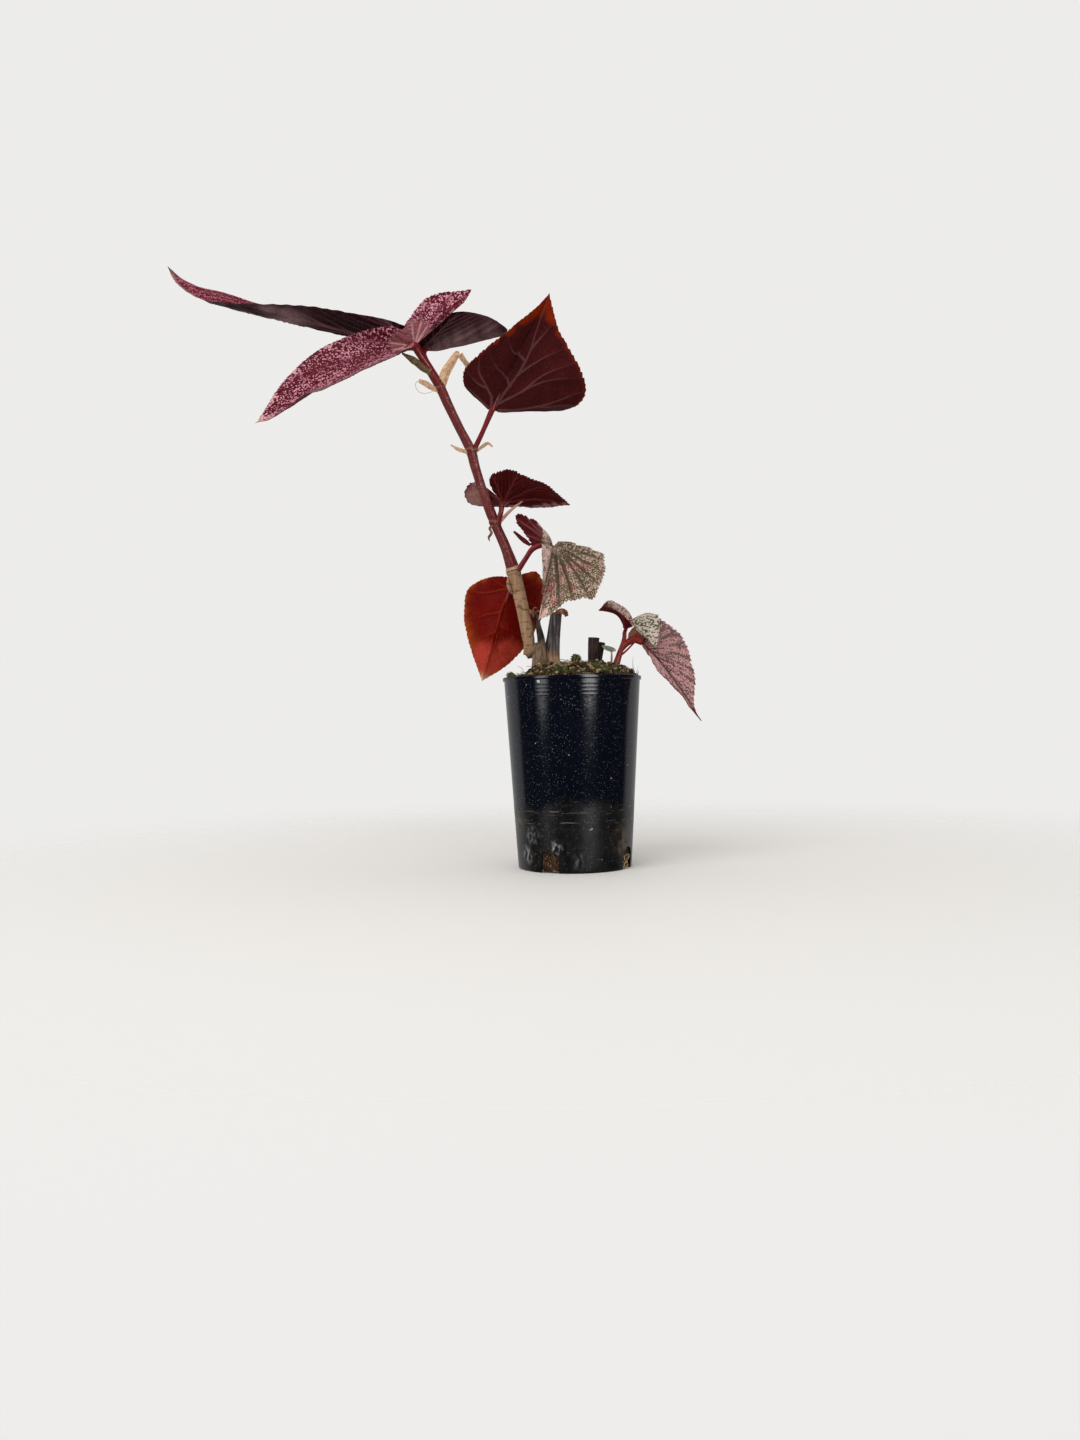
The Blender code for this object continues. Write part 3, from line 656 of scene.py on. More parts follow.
def leaf(name, node, record_slot, hub, first, tip, second, stalk, top, below, stalk_skin=STALK_RED,
         stalk_radius=1.1, stalk_ahead=0.9, arch=0.0, cup=0.0, waves=7, wave_height=0.0, tip_curl=(0, 0, 0),
         teeth=70, tooth=1.3, mains=(-0.5, 0, 0.5), branches=3, pleat=0.7, ridge=0.35, vein_width=0.75,
         pleat_width=1.6, rim_step=0.65, row_step=1.5, mask=(), tint=(), pale=(), strip=None):
    """One leaf: its hub, its sides and tip, its stalk, and the skins of its top and its underside

    The mask, the tint and the pale places are blots of (turn, way out, size) that the skins
    colour otherwise. The strip is a narrow lobe: its line, its widths and its way across.
    """
    blade = Blade(hub, first, tip, second, arch, cup, waves, wave_height, tip_curl, rim_step, row_step)
    draw = random.Random(LEAF_SEED)
    lines = blade.vein_lines(mains, branches)
    strengths = np.concatenate([strength for _, _, strength in lines])
    tree = kdtree.KDTree(len(strengths))
    for i, place in enumerate(np.vstack([blade.at(turn, out) for turn, out, _ in lines])):
        tree.insert(place, i)
    tree.balance()
    rows, columns = blade.grid.shape[:2]
    found = [tree.find(place)[1:] for place in blade.grid.reshape(-1, 3)]
    distance = np.array([gap for _, gap in found]).reshape(rows, columns)
    strength = np.array([strengths[i] for i, _ in found]).reshape(rows, columns)
    lift = blade.normals()
    out = blade.out
    vein = strength * np.exp(-(distance / (vein_width * (0.5 + strength))) ** 2)
    pucker = 1 - np.exp(-distance / pleat_width)
    fade = np.minimum(1, 6 * out) * (1 - 0.5 * out ** 8)
    phase = teeth * (blade.turn + 1) / 2
    sizes = [draw.uniform(0.5, 1.3) for _ in range(teeth + 2)]
    size = np.array([sizes[int(value)] for value in phase])
    saw = np.where(blade.turn < 0, 1 - phase % 1, phase % 1)
    bite = (tooth * saw * size)[None, :] * out ** 14
    inwards = unit(blade.hub - blade.flat)
    middle = blade.grid + lift * (pleat * (pucker - 0.6) * fade)[..., None] + inwards * bite[..., None]
    ripple = np.array([[noise.noise(Vector(place) * RIPPLE) for place in row] for row in middle])
    middle = middle + lift * (0.5 * ripple * fade)[..., None]
    thick = BLADE / 2 * (1 - 0.5 * out ** 6)
    upper = middle + lift * thick[..., None]
    lower = middle - lift * (thick + ridge * vein * (1 - 0.6 * out))[..., None]

    build = Build()
    under = rows * columns
    top_faces = []
    under_faces = []
    for j in range(1, columns):
        top_faces.append((0, j, j + 1))
        under_faces.append((0, j + 1 + under, j + under))
        edge = j + (rows - 1) * columns
        for near in range(j, edge, columns):
            far = near + columns
            top_faces.append((near, far, far + 1, near + 1))
            under_faces.append((near + under, near + 1 + under, far + 1 + under, far + under))
        under_faces.append((edge, edge + under, edge + 1 + under, edge + 1))
    for end in (1, columns):
        for near in range(end, end + (rows - 1) * columns, columns):
            under_faces.append((near, near + columns, near + columns + under, near + under))
    marks = {
        "vein": vein,
        "gap": distance,
        "out": np.broadcast_to(out, distance.shape),
        "reach": np.linalg.norm(blade.flat - blade.hub, axis=2),
        "mask": blade.blots(mask),
        "tint": blade.blots(tint),
        "pale": blade.blots(pale),
    }
    marks = {mark: np.concatenate([[0], values.ravel(), values.ravel()]) for mark, values in marks.items()}
    corners = np.vstack([[blade.hub], upper.reshape(-1, 3), lower.reshape(-1, 3)])
    build.add(corners, top_faces + under_faces, **marks)
    build.slots = [0] * len(top_faces) + [1] * len(under_faces)
    half = columns // 2
    sink = -lift[0, half] * 0.3
    ending = [blade.hub, blade.hub + (blade.grid[rows // 6, half] - blade.hub) * stalk_ahead + sink]
    radii = [stalk_radius * share for share in (1, 0.9, 1.15)] + [0.3]
    build.tube(list(stalk) + ending, radii, STALK_RINGS, STALK_SIDES, 2)
    if strip:
        build.ribbon(*strip, cup=0.4, fray=0.1, thickness=0.4, seed=31, slot=1)
    return build.make(name, [top, below, stalk_skin], record_slot, node)


# The longest leaf, level and seen almost edge-on, with one large lobe behind its stalk
leaf("long_leaf", "leaf_long", "leaf_dark_red", (-90, 12, 322.5),
     [(-85, 22, 327), (-90, 38, 335), (-112, 50, 342), (-140, 54, 352),
      (-180, 48, 360), (-211, 32, 366), (-222, 25, 367), (-235, 15, 367)], (-240, 6, 365),
     [(-237, -3, 360), (-215, -18, 344), (-178, -30, 337), (-147, -32, 334), (-126, -26, 332),
      (-107, -8, 334), (-98, -2, 333), (-88, 0, 333), (-67, -1, 341), (-49, -8, 336),
      (-38, -11, 328), (-37, -5, 326), (-54, 4, 327)],
     [(-84, -3, 306), (-87, -1.6, 313), (-88.5, 5, 318)],
     speckled("long_top", (0.09, 0.004, 0.012), (0.36, 0.1, 0.14), (0.5, 0.11, 0.2), (0.09, 0.006, 0.016),
              (0.2, 0.05, 0.06), (0.45, 0.22, 0.22), cover=0.42, mask_colour=(0.13, 0.07, 0.06), row=2.6),
     underside("long_underside", (0.016, 0.002, 0.004), (0.15, 0.06, 0.07), (0.045, 0.01, 0.014),
               netting=0.1, specular=0.1, tint_colour=(0.23, 0.14, 0.15)),
     stalk_radius=2.2, stalk_ahead=0.4, arch=-0.5, cup=-0.5, waves=11, wave_height=0.5,
     tip_curl=(-6, 0, 9), teeth=130, tooth=0.2, mains=(-0.86, -0.55, -0.25, 0, 0.3, 0.58, 0.78, 0.93),
     branches=4, pleat=3.0, pleat_width=3.4, ridge=0.5, vein_width=1.0, rim_step=0.9, row_step=2.2,
     mask=[(0, 1, 8)],
     # On the underside these tint blots are a painted grey-mauve sheen on the pleats; on the top they only
     # tint the dots
     tint=[(0.29, 0.93, 6), (0.3, 0.85, 6), (0.27, 0.75, 9), (0.22, 0.7, 9), (0.15, 0.65, 9),
           (0.08, 0.6, 9), (0.05, 0.52, 9), (0.03, 0.45, 7), (0.12, 0.76, 7),
           (0.98, 0.3, 4), (0.98, 0.45, 5), (0.97, 0.6, 6), (0.96, 0.75, 6), (0.94, 0.92, 7)])

# The speckled leaf that hangs to the left, with its lobe standing up beside the stem
leaf("pink_leaf", "leaf_pink", "leaf_pink", (-92, -8.5, 318),
     [(-61, -7, 345), (-57, -7, 352), (-63, -6, 352), (-83, -7, 349), (-96, -10, 333), (-99, -14, 327),
      (-108, -18, 327), (-132, -22, 318), (-151, -30, 303.5), (-165, -40, 285)], (-176, -60, 258),
     [(-161, -71, 259), (-147, -78, 266), (-130, -80, 271), (-113, -70, 283), (-99, -50, 297)],
     [(-84.5, -4, 306.5), (-88, -5.6, 311.5), (-90.5, -7, 315.5)],
     speckled("pink_top", (0.075, 0.003, 0.01), (0.58, 0.25, 0.32), (0.12, 0.002, 0.005),
              (0.11, 0.009, 0.02), (0.21, 0.06, 0.072), (0.42, 0.17, 0.2), dot_size=1.25, cover=0.39,
              rowed=0.12, hub_size=15, mask_colour=(0.17, 0.075, 0.078)),
     underside("pink_underside", (0.045, 0.006, 0.01), (0.14, 0.045, 0.05), (0.14, 0.03, 0.04),
               pale_colour=(0.3, 0.12, 0.12)),
     stalk_radius=2.3, stalk_ahead=0.5, arch=3, cup=2, waves=11, wave_height=0.5, teeth=130,
     mains=(-0.96, -0.9, -0.82, -0.72, -0.45, -0.2, 0.12, 0.45, 0.75), branches=5, pleat=0.9,
     # The mask blots paint the lower margin, seen edge-on, as a dull mauve band in place of the speckles: a
     # painted grazing sheen
     mask=[(0.4 + 0.06 * k, 0.99, 6.5) for k in range(10)],
     pale=[(0, 1, 10), (-0.12, 1, 3.5), (-0.25, 1, 2.5), (-0.4, 1, 2.5)],
     tint=[(0.21, 0.74, 4), (0.27, 0.66, 3), (0.33, 0.6, 3.5), (0.42, 0.56, 3), (0.44, 0.4, 3),
           (0.13, 0.8, 2.5), (0.07, 0.7, 2), (-0.97, 0.35, 2.5), (-0.97, 0.55, 2.5), (-0.98, 0.8, 2.5),
           (-0.9, 0.25, 2.5)])

# The broad dark red leaf that shows its underside, its tip up
leaf("upper_red_leaf", "leaf_red_upper", "leaf_wine", (-46, -8, 278),
     [(-57, -11, 286), (-62, -17, 291), (-61, -26, 298), (-52, -32, 304), (-28, -32, 322), (-16, -30, 333)],
     (-10, -30, 340),
     [(-5, -24, 322), (1, -20, 312), (9, -12, 300), (12, -4, 290), (8, 4, 285), (-3, 12, 283),
      (-23, 12, 284)],
     [(-56.4, -3.1, 257.6), (-51.8, -5.8, 266)],
     speckled("wine_top", (0.09, 0.003, 0.012), (0.45, 0.18, 0.22), (0.42, 0.1, 0.17),
              (0.1, 0.004, 0.014), (0.17, 0.04, 0.04), (0.3, 0.08, 0.09)),
     underside("wine_underside", (0.036, 0.0045, 0.005), (0.115, 0.045, 0.047), (0.15, 0.014, 0.004),
               netting=0.08, mask_colour=(0.2, 0.016, 0.001)),
     stalk_radius=1.6, arch=3, cup=1, wave_height=0.7, teeth=56, tooth=0.9, pleat=1.1, ridge=0.45,
     vein_width=0.65, rim_step=0.6, row_step=1.1,
     mask=[(0, 1, 14), (-0.12, 1, 8), (-0.24, 1, 6), (-0.36, 1, 4.5), (-0.48, 1, 3.5), (-0.6, 1, 2),
           (0.12, 1, 7), (0.22, 1, 3.5), (0.32, 1, 2.5)],
     mains=[[(0.19, 0.02), (0.18, 0.41), (0.13, 0.63), (0.07, 0.75), (0, 1)],
            [(0.18, 0.38), (0.24, 0.6), (0.31, 0.97)], [(0.13, 0.63), (0.14, 0.8), (0.15, 0.97)],
            [(0.3, 0.1), (0.38, 0.24), (0.42, 0.61), (0.5, 0.97)], [(0.4, 0.35), (0.37, 0.6), (0.4, 0.96)],
            [(0.7, 0.08), (0.7, 0.37), (0.6, 0.8), (0.58, 0.97)], [(0.7, 0.37), (0.68, 0.7), (0.68, 0.96)],
            [(0.85, 0.1), (0.8, 0.5), (0.78, 0.95)],
            [(0.21, 0.29), (0.08, 0.28), (-0.12, 0.31), (-0.38, 0.5), (-0.5, 0.72), (-0.54, 0.96)],
            [(0.14, 0.53), (-0.01, 0.49), (-0.2, 0.6), (-0.31, 0.76), (-0.37, 0.94)],
            [(-0.55, 0.05), (-0.53, 0.21), (-0.6, 0.35), (-0.66, 0.69), (-0.62, 0.95)],
            [(-0.6, 0.35), (-0.72, 0.6), (-0.76, 0.96)], [(-0.85, 0.1), (-0.87, 0.5), (-0.88, 0.95)]])

# The lopsided leaf half-way up, with one lobe behind the cane
leaf("middle_leaf", "leaf_red_middle", "leaf_dark_wine", (-40, -4, 223),
     [(-46, -10, 230), (-48, -20, 233), (-45, -28, 236), (-36, -34, 236), (-26, -36, 232), (-9, -30, 224)],
     (0, -22, 217),
     [(-10, -8, 217.5), (-20, 6, 220.5), (-30, 14, 224), (-43, 22, 225.5), (-54.5, 26, 226.6),
      (-62.5, 23, 228.5), (-65.3, 19, 234.5), (-62.6, 15, 239), (-57, 11, 239), (-50.5, 6, 234.5),
      (-45, 1, 229)],
     [(-43.2, -3.2, 211.8), (-41.6, -4.6, 217)],
     speckled("middle_top", (0.09, 0.003, 0.012), (0.42, 0.18, 0.22), (0.4, 0.1, 0.17),
              (0.1, 0.004, 0.014), (0.17, 0.04, 0.04), (0.3, 0.08, 0.09)),
     underside("middle_underside", (0.042, 0.0022, 0.002), (0.11, 0.02, 0.02), (0.1, 0.02, 0.02),
               netting=0.05, mask_colour=(0.26, 0.12, 0.11)),
     stalk_radius=1.7, arch=3, cup=1, wave_height=0.6, tooth=1.6, pleat=1.2, vein_width=0.6,
     mains=(-0.75, -0.5, -0.25, 0, 0.3, 0.55, 0.8),
     # The mask blots give the underside a painted mauve-grey sheen along its lower margin, where it is seen
     # at a grazing angle
     mask=[(0.02, 0.97, 3.5), (0.08, 0.95, 4.5), (0.15, 0.92, 5), (0.22, 0.9, 5.5), (0.3, 0.9, 5.5),
           (0.4, 0.85, 6), (0.7, 0.8, 10), (0.85, 0.85, 10)])

# The folded silver-green leaf, its pleats spread from the stalk, with a strip that splits off its back lobe
leaf("silver_leaf", "leaf_silver", "leaf_silver", (-10, -9, 195),
     [(-23.5, 0, 196.5), (-26.8, 2, 202.6), (-29.8, 3.6, 208), (-33.4, 4, 212.8), (-33, 3, 216.6),
      (-29.5, 0, 216.8), (-25, -4, 214), (-18, -16, 206), (-18, -28, 191), (-18, -42, 173), (-18, -48, 156)],
     (-20, -48, 146),
     [(-10, -50, 151), (-2, -48, 157), (11, -44, 158), (16, -38, 166), (20, -28, 176), (20, -18, 187),
      (13, -6, 193), (3, 2, 198), (-6, 0, 199)],
     [(-31.5, -3, 182), (-27, -4.4, 188.5), (-22.5, -5, 194.4), (-16, -7.5, 196.5)],
     speckled("silver_top", (0.1, 0.074, 0.034), (0.47, 0.34, 0.29), (0.55, 0.14, 0.2),
              (0.07, 0.055, 0.035), (0.24, 0.19, 0.15), (0.42, 0.33, 0.28), dot_size=1.05, cover=0.46,
              roughness=0.55, hub_size=1.0, mask_colour=(0.52, 0.34, 0.3), row=1.3, vein_share=0.85,
              clear=20.0, broken=0.35, pale_colour=(0.6, 0.42, 0.38)),
     underside("silver_underside", (0.07, 0.007, 0.008), (0.2, 0.065, 0.07), (0.15, 0.045, 0.045),
               pale_colour=(0.16, 0.05, 0.05)),
     stalk_radius=1.7, stalk_ahead=0.1, arch=2, cup=1, waves=15, wave_height=0.9, teeth=84, tooth=2.0,
     mains=(-0.92, -0.82, -0.72, -0.62, -0.46, -0.12, 0.11, 0.21, 0.31, 0.41, 0.52, 0.63, 0.75, 0.88),
     branches=0, pleat=2.2, pleat_width=1.5, vein_width=0.8, mask=[(0, 1, 6)],
     strip=([(-24, 0.5, 197.5), (-28, 2.5, 201), (-32, 4, 204.8), (-34.2, 4.4, 206.8)],
            [1.5, 3.0, 2.4, 1.2], (0.5, 0.2, 0.8)),
     pale=[(-0.66, 0.6, 4), (-0.6, 0.8, 4), (-0.53, 0.81, 4), (-0.46, 0.57, 4), (-0.4, 0.4, 3),
           (-0.36, 0.7, 5), (-0.33, 0.88, 4), (-0.3, 0.5, 4), (-0.22, 0.75, 4.5), (-0.2, 0.9, 4),
           (-0.02, 0.8, 4), (0.02, 0.92, 3.5)],
     tint=[(-0.18, 0.7, 4), (-0.2, 0.5, 4), (-0.04, 0.62, 4), (0.04, 0.67, 4), (0.11, 0.6, 4), (0.19, 0.5, 4),
           (0.43, 0.62, 4.5), (0.35, 0.45, 4), (0.22, 0.8, 3), (0.08, 0.85, 3.5), (-0.1, 0.85, 3)])

# The thin orange-red leaf that hangs behind the foot of the cane
leaf("orange_leaf", "leaf_orange", "leaf_orange", (-37, 9, 172),
     [(-29, 13, 182), (-20, 15, 183), (-15, 19, 172), (-16, 22, 159), (-22, 20, 146), (-31, 18, 133),
      (-42, 17, 123)], (-56, 16, 115),
     [(-63, 20, 135), (-66.5, 24, 149), (-67.5, 26, 161), (-65.5, 26, 173), (-58, 24, 179),
      (-50, 19, 180.8), (-43, 15, 180.8), (-38, 12, 180)],
     [(-35, 5.3, 180), (-36, 8, 177)],
     # The leaf's bright orange-red, strongest at its edges, in its tint blots and on its lower part, is
     # partly painted glow of light shining through it from behind, over its own deep red
     speckled("orange_top", (0.16, 0.012, 0.006), (0.4, 0.13, 0.1), (0.4, 0.08, 0.08),
              (0.2, 0.02, 0.01), (0.25, 0.05, 0.02), (0.45, 0.12, 0.04)),
     underside("orange_underside", (0.085, 0.0012, 0.0004), (0.2, 0.02, 0.004), (0.34, 0.06, 0.006),
               mask_colour=(0.36, 0.036, 0.022), specular=0.07, roughness=0.35,
               tint_colour=(0.3, 0.05, 0.004)),
     arch=-2, cup=-2, wave_height=0.8, teeth=60, tooth=0.7, pleat=1.0, vein_width=0.5,
     mains=[[(0.1, 0.05), (0.06, 0.3), (-0.03, 0.55), (0.01, 0.78), (0, 0.97)],
            [(0.06, 0.25), (0.3, 0.5), (0.45, 0.95)], [(0, 0.45), (0.15, 0.65), (0.27, 0.96)],
            [(0, 0.6), (-0.12, 0.75), (-0.2, 0.96)], [(0.03, 0.35), (-0.25, 0.6), (-0.42, 0.95)],
            [(0.6, 0.05), (0.6, 0.5), (0.66, 0.95)], [(-0.55, 0.05), (-0.6, 0.5), (-0.62, 0.95)],
            [(-0.8, 0.1), (-0.82, 0.95)], [(0.82, 0.1), (0.85, 0.95)]],
     mask=[(0, 0.8, 14), (-0.2, 0.85, 11), (0.12, 0.85, 9)], pale=[(0, 1, 4)],
     tint=[(-0.95, 0.95, 4), (-0.85, 0.98, 4), (-0.7, 0.99, 4), (-0.5, 0.99, 4), (-0.3, 0.97, 5),
           (0.33, 1, 6), (0.25, 1, 7), (0.41, 1, 5), (0.5, 1, 4), (0.6, 1, 3.5), (0.7, 1, 3.5),
           (0.8, 1, 3), (0.15, 1, 4)])

# The small leaf of the side shoot: a folded blade, and a silver lobe spread to the right
pale_underside = underside("pale_underside", (0.06, 0.004, 0.005), (0.16, 0.03, 0.035), (0.2, 0.03, 0.03),
                           mask_colour=(0.1, 0.006, 0.006))
leaf("small_leaf", "leaf_small", "leaf_pale", (33, -8, 144.5),
     [(38, -3, 150), (36.5, -1, 154), (33, -1, 158), (28, -3, 160.5), (22, -8, 161.5)], (16, -14, 155),
     [(19, -19.5, 157.4), (24, -21.5, 155), (29, -22, 151.8), (34, -19, 147.8), (37, -14, 145.6)],
     [(32.5, -5.8, 142.9)],
     speckled("pale_top", (0.13, 0.08, 0.05), (0.52, 0.36, 0.32), (0.45, 0.2, 0.22),
              (0.2, 0.15, 0.09), (0.4, 0.3, 0.26), (0.55, 0.45, 0.4), dot_size=1.0, hub_size=1,
              cover=0.55, mask_colour=(0.11, 0.008, 0.008), vein_share=0.4),
     pale_underside, stalk_radius=1.2, arch=4.5, waves=5, wave_height=0.2, teeth=40, tooth=0.5,
     mains=(-0.6, 0, 0.6), pleat=0.5, ridge=0.25, vein_width=0.4, rim_step=0.4, row_step=0.7,
     mask=[(0, 1, 6), (-0.15, 1, 5), (-0.08, 0.8, 3)])
leaf("small_leaf_lobe", "leaf_small", "leaf_pale", (34.8, -8.8, 148.8),
     [(37, -10, 146.2), (41.2, -13, 141), (45.5, -17, 137), (50, -21, 133), (52.4, -17, 142)],
     (53, -11, 152.4), [(46, -5, 154), (39.5, -5.5, 151.5)], [(33, -8, 145), (33.6, -8.4, 147)],
     speckled("lobe_top", (0.07, 0.075, 0.028), (0.5, 0.43, 0.38), (0.5, 0.45, 0.42),
              (0.3, 0.27, 0.2), (0.42, 0.36, 0.31), (0.58, 0.5, 0.46), dot_size=1.2, cover=0.56,
              hub_size=1, vein_share=0.6),
     pale_underside, stalk_radius=0.6, arch=0.5, waves=5, wave_height=0.3, teeth=36, tooth=0.5,
     ridge=0.25, vein_width=0.35, rim_step=0.4, row_step=0.7)

# The pink leaf of the side shoot that hangs down beside the pot, with side veins in pairs
rose_veins = [-0.9, 0.03, 0.76, 0.9]
for start, high, low in ((0.02, 0.66, -0.78), (0.04, 0.56, -0.7), (0.07, 0.46, -0.6), (0.12, 0.37, -0.5),
                         (0.2, 0.28, -0.42), (0.3, 0.2, -0.33), (0.43, 0.13, -0.25), (0.57, 0.07, -0.15)):
    rose_veins += [(0.03, start, high), (0.03, start + 0.03, low)]
leaf("drooping_leaf", "leaf_drooping", "leaf_rose", (43.5, -7, 135),
     [(43, -20, 131), (46, -26, 125), (50, -28, 117), (55, -26, 111), (63, -21, 103), (71, -15, 94)],
     (76.8, -13, 87.4),
     [(73, -11, 97), (74, -8, 111), (73, -5, 121), (72, -2, 131), (66, 2, 143), (61, 5, 148), (55, 6, 152),
      (46, 4, 149), (40, 0, 141.5)],
     [(42.9, -6.9, 135.9)],
     speckled("rose_top", (0.12, 0.07, 0.06), (0.5, 0.265, 0.275), (0.5, 0.26, 0.29), (0.055, 0.034, 0.03),
              (0.3, 0.12, 0.12), (0.4, 0.2, 0.2), dot_size=0.9, cover=0.47, rowed=0.2,
              mask_colour=(0.14, 0.012, 0.006), vein_share=0.9, row=4.0, hub_size=1, broken=0.58),
     underside("rose_underside", (0.17, 0.07, 0.065), (0.24, 0.1, 0.09), (0.2, 0.05, 0.04),
               mask_colour=(0.13, 0.012, 0.006)),
     stalk_radius=0.9, arch=2, cup=2, wave_height=0.6, teeth=60, tooth=1.5, mains=rose_veins,
     branches=0, pleat=1.0, vein_width=1.1, rim_step=0.55, row_step=1.0,
     mask=[(0, 1, 9), (0, 0.9, 4), (-0.1, 1, 3)] + [(-0.05 * k, 1, 2.4) for k in range(3, 13)])

# The cane's bark: woody below, red above, and scarred at its joints
paint = Paint("cane_bark", specular=0.28)
height = paint.height()
grain = paint.noise(2.2, 3, paint.scaled(1, 1, 0.14))
blots = paint.noise(5, 3)
red = grain.mix((0.06, 0.006, 0.006), (0.19, 0.034, 0.032))
red = height.step(0.288, 0.31).mix(red, (0.15, 0.005, 0.006))
red = (blots.step(0.55, 0.75) * 0.4).mix(red, (0.24, 0.075, 0.065))
wood = grain.mix((0.17, 0.09, 0.048), (0.46, 0.29, 0.17))
cracks = paint.noise(1.4, 3, paint.scaled(0.25, 0.25, 1)).step(0.54, 0.68)
wood = (cracks * 0.75).mix(wood, (0.06, 0.03, 0.018))
wood = (height + blots * 0.008).step(0.1365, 0.132).mix(wood, (0.04, 0.024, 0.016))
edge = height + blots * 0.006
colour = edge.step(0.1822, 0.1848).mix(wood, red)
colour = (paint.cells(4.0).step(0.17, 0.09) * 0.7).mix(colour, (0.45, 0.28, 0.22))
for level in JOINTS:
    width, scar, groove = (0.0015, 0.6, 0.6) if level == JOINTS[0] else (0.0008, 0.25, 0.3)
    away = abs(edge - (level * MM + 0.003))
    colour = (away.step(width, 0.0003) * scar).mix(colour, (0.42, 0.26, 0.17))
    colour = (abs(away - 0.0019).step(0.0005, 0.0001) * groove).mix(colour, (0.07, 0.025, 0.018))
rough = edge.step(0.18, 0.187).mix((0.75, 0.75, 0.75), (0.36, 0.36, 0.36))
paint.bump(grain + cracks * -0.6, 0.35)
cane_bark = paint.done(colour, rough)


def cane_ripple(turns, share, height):
    """The waves of the cane, and its swollen joints with the groove of a scar above each"""
    scale = 1 + 0.03 * np.sin(5 * turns + 9 * share) + 0.02 * np.sin(11 * turns - 30 * share)
    for level in JOINTS:
        above = (height - level) / JOINT_WIDTH
        swell = 0.1 * (math.exp(-above ** 2) - 0.5 * math.exp(-((above - 1.5) / 0.4) ** 2))
        scale = scale + swell * (1 + 0.4 * np.sin(turns + level))
    if height < 180:
        scale = scale + 0.02 * math.sin(height * 1.9) * np.sin(2 * turns + height)
    return scale


def ribbed(count, depth, twist):
    """A ripple with ribs along a stem"""
    def ripple(turns, share, height):
        ribs = np.abs(np.sin(count / 2 * turns + twist * share)) - 0.5
        return 1 + depth * ribs + 0.4 * depth * np.sin(3 * turns + 5 * share)
    return ripple


# The cane with its papery collar and three small buds
build = Build()
build.tube([(-26.5, 1, 130), (-26, 1, 138), (-29, 0, 155), (-32, 0, 170), (-34.5, 0, 181),
            (-39.2, 0, 196), (-45, 0, 210), (-51.6, -1, 228), (-56.8, -2, 245), (-59.6, -2, 256),
            (-66.5, -2, 270), (-73, -2, 284), (-77.3, -2, 294), (-83, -3, 304), (-88, -3.5, 313)],
           [3.0, 3.9, 3.8, 3.9, 4.2, 3.2, 3.0, 3.1, 2.8, 2.8, 3.1, 2.7, 2.7, 3.0, 2.8, 2.4], 300, 36,
           ripple=cane_ripple)
collar = []
for step in range(11):
    turn = math.radians(150 + 34 * step)
    collar.append((-34.7 + 4.5 * math.cos(turn), 4.7 * math.sin(turn), 182.8 + 1.3 * math.cos(turn)))
build.ribbon(collar, [1.0, 2.2, 1.6, 2.6, 2.0, 2.8, 1.2], (0, 0, 1), cup=0.3, fray=0.3, seed=41, slot=1)
build.tube([(-35.6, -2.2, 167.5), (-37.2, -2.6, 171), (-38, -2.8, 174.5), (-38, -2.8, 177.5)],
           [0.5, 1.4, 1.2, 0.3], 24, 16)
build.tube([(-42.6, 0, 207.5), (-43.3, -3, 211), (-43, -3.4, 213)], [0.6, 1.7, 1.4], 14, 14)
build.tube([(-58, -1.8, 253), (-56.8, -2.9, 256.5), (-56, -3.1, 259)], [0.6, 1.8, 1.4], 14, 14)
collar_paper = paper_skin("collar_paper", (0.3, 0.16, 0.1), (0.7, 0.52, 0.38), (0.16, 0.05, 0.03))
build.make("cane", [cane_bark, collar_paper], "cane", "main_cane")

# The old foot of the plant and its dead stems
dry = bark("dry_brown", (0.08, 0.022, 0.011), (0.36, 0.15, 0.08), size=1.2)
build = Build()
build.tube([(-19.5, -1, 108), (-20, -1, 120), (-19.5, 0, 130), (-18.4, 1, 138.5), (-20, 2, 148),
            (-21.6, 2, 156)], [4.6, 4.8, 4.4, 2.3, 1.6, 1.4], 90, 36, ripple=ribbed(9, 0.2, 3))
build.tube([(-27.5, 0.5, 129), (-23, 0, 132), (-19.5, 0, 136)], [1.5, 2.9, 2.4], 30, 24,
           ripple=ribbed(7, 0.3, 5))
for seed, points, widths in (
        (3, [(-22, 1, 154), (-24, -1, 157), (-27, -1.5, 158), (-28, -1, 155.8)], [2.4, 3.4, 3, 1.2]),
        (4, [(-22, 2, 154), (-20, 1, 156.5), (-18, 1.5, 155.5)], [2.6, 2.6, 1]),
        (5, [(-22, 1, 155), (-22.5, -0.5, 158), (-20.5, -0.5, 158.8)], [2.2, 2.4, 0.8])):
    build.ribbon(points, widths, (0.2, 1, 0.5), cup=0.8, seed=seed, slot=1)
build.make("crown", [bark("crown_bark", (0.012, 0.008, 0.007), (0.09, 0.06, 0.048), 0.3, 2.2,
                          foot=(0.165, 0.105, 0.066), foot_height=0.1395), dry], "cane", "main_cane")

build = Build()
build.tube([(-12.5, 9, 110), (-12.5, 9, 128), (-10.6, 9, 142), (-8.6, 8, 156.5)], [6.2, 5.6, 4.0, 3.4],
           80, 48, ripple=ribbed(13, 0.09, 0.6))
build.ribbon([(-10, 5.4, 155), (-7.4, 5, 156), (-5, 5, 156.2), (-3.6, 5.2, 155.2), (-3.0, 5.4, 153.6)],
             [2.5, 3.6, 4.4, 4.6, 3.0], (0.5, 0.6, 0.8), cup=0.7, fray=0.2, seed=8, slot=1)
build.ribbon([(-12.4, 8, 155), (-11.6, 7, 157.6), (-9, 6, 157.8)], [2.6, 3, 1], (0.2, 1, 0), seed=9, slot=1)
build.make("grey_stub_bark", [bark("grey_bark", (0.016, 0.013, 0.014), (0.14, 0.115, 0.112), 0.05, 1.1,
                                   foot=(0.42, 0.24, 0.15), foot_height=0.1335, roughness=0.6), dry],
           "dead_wood", "grey_stub")

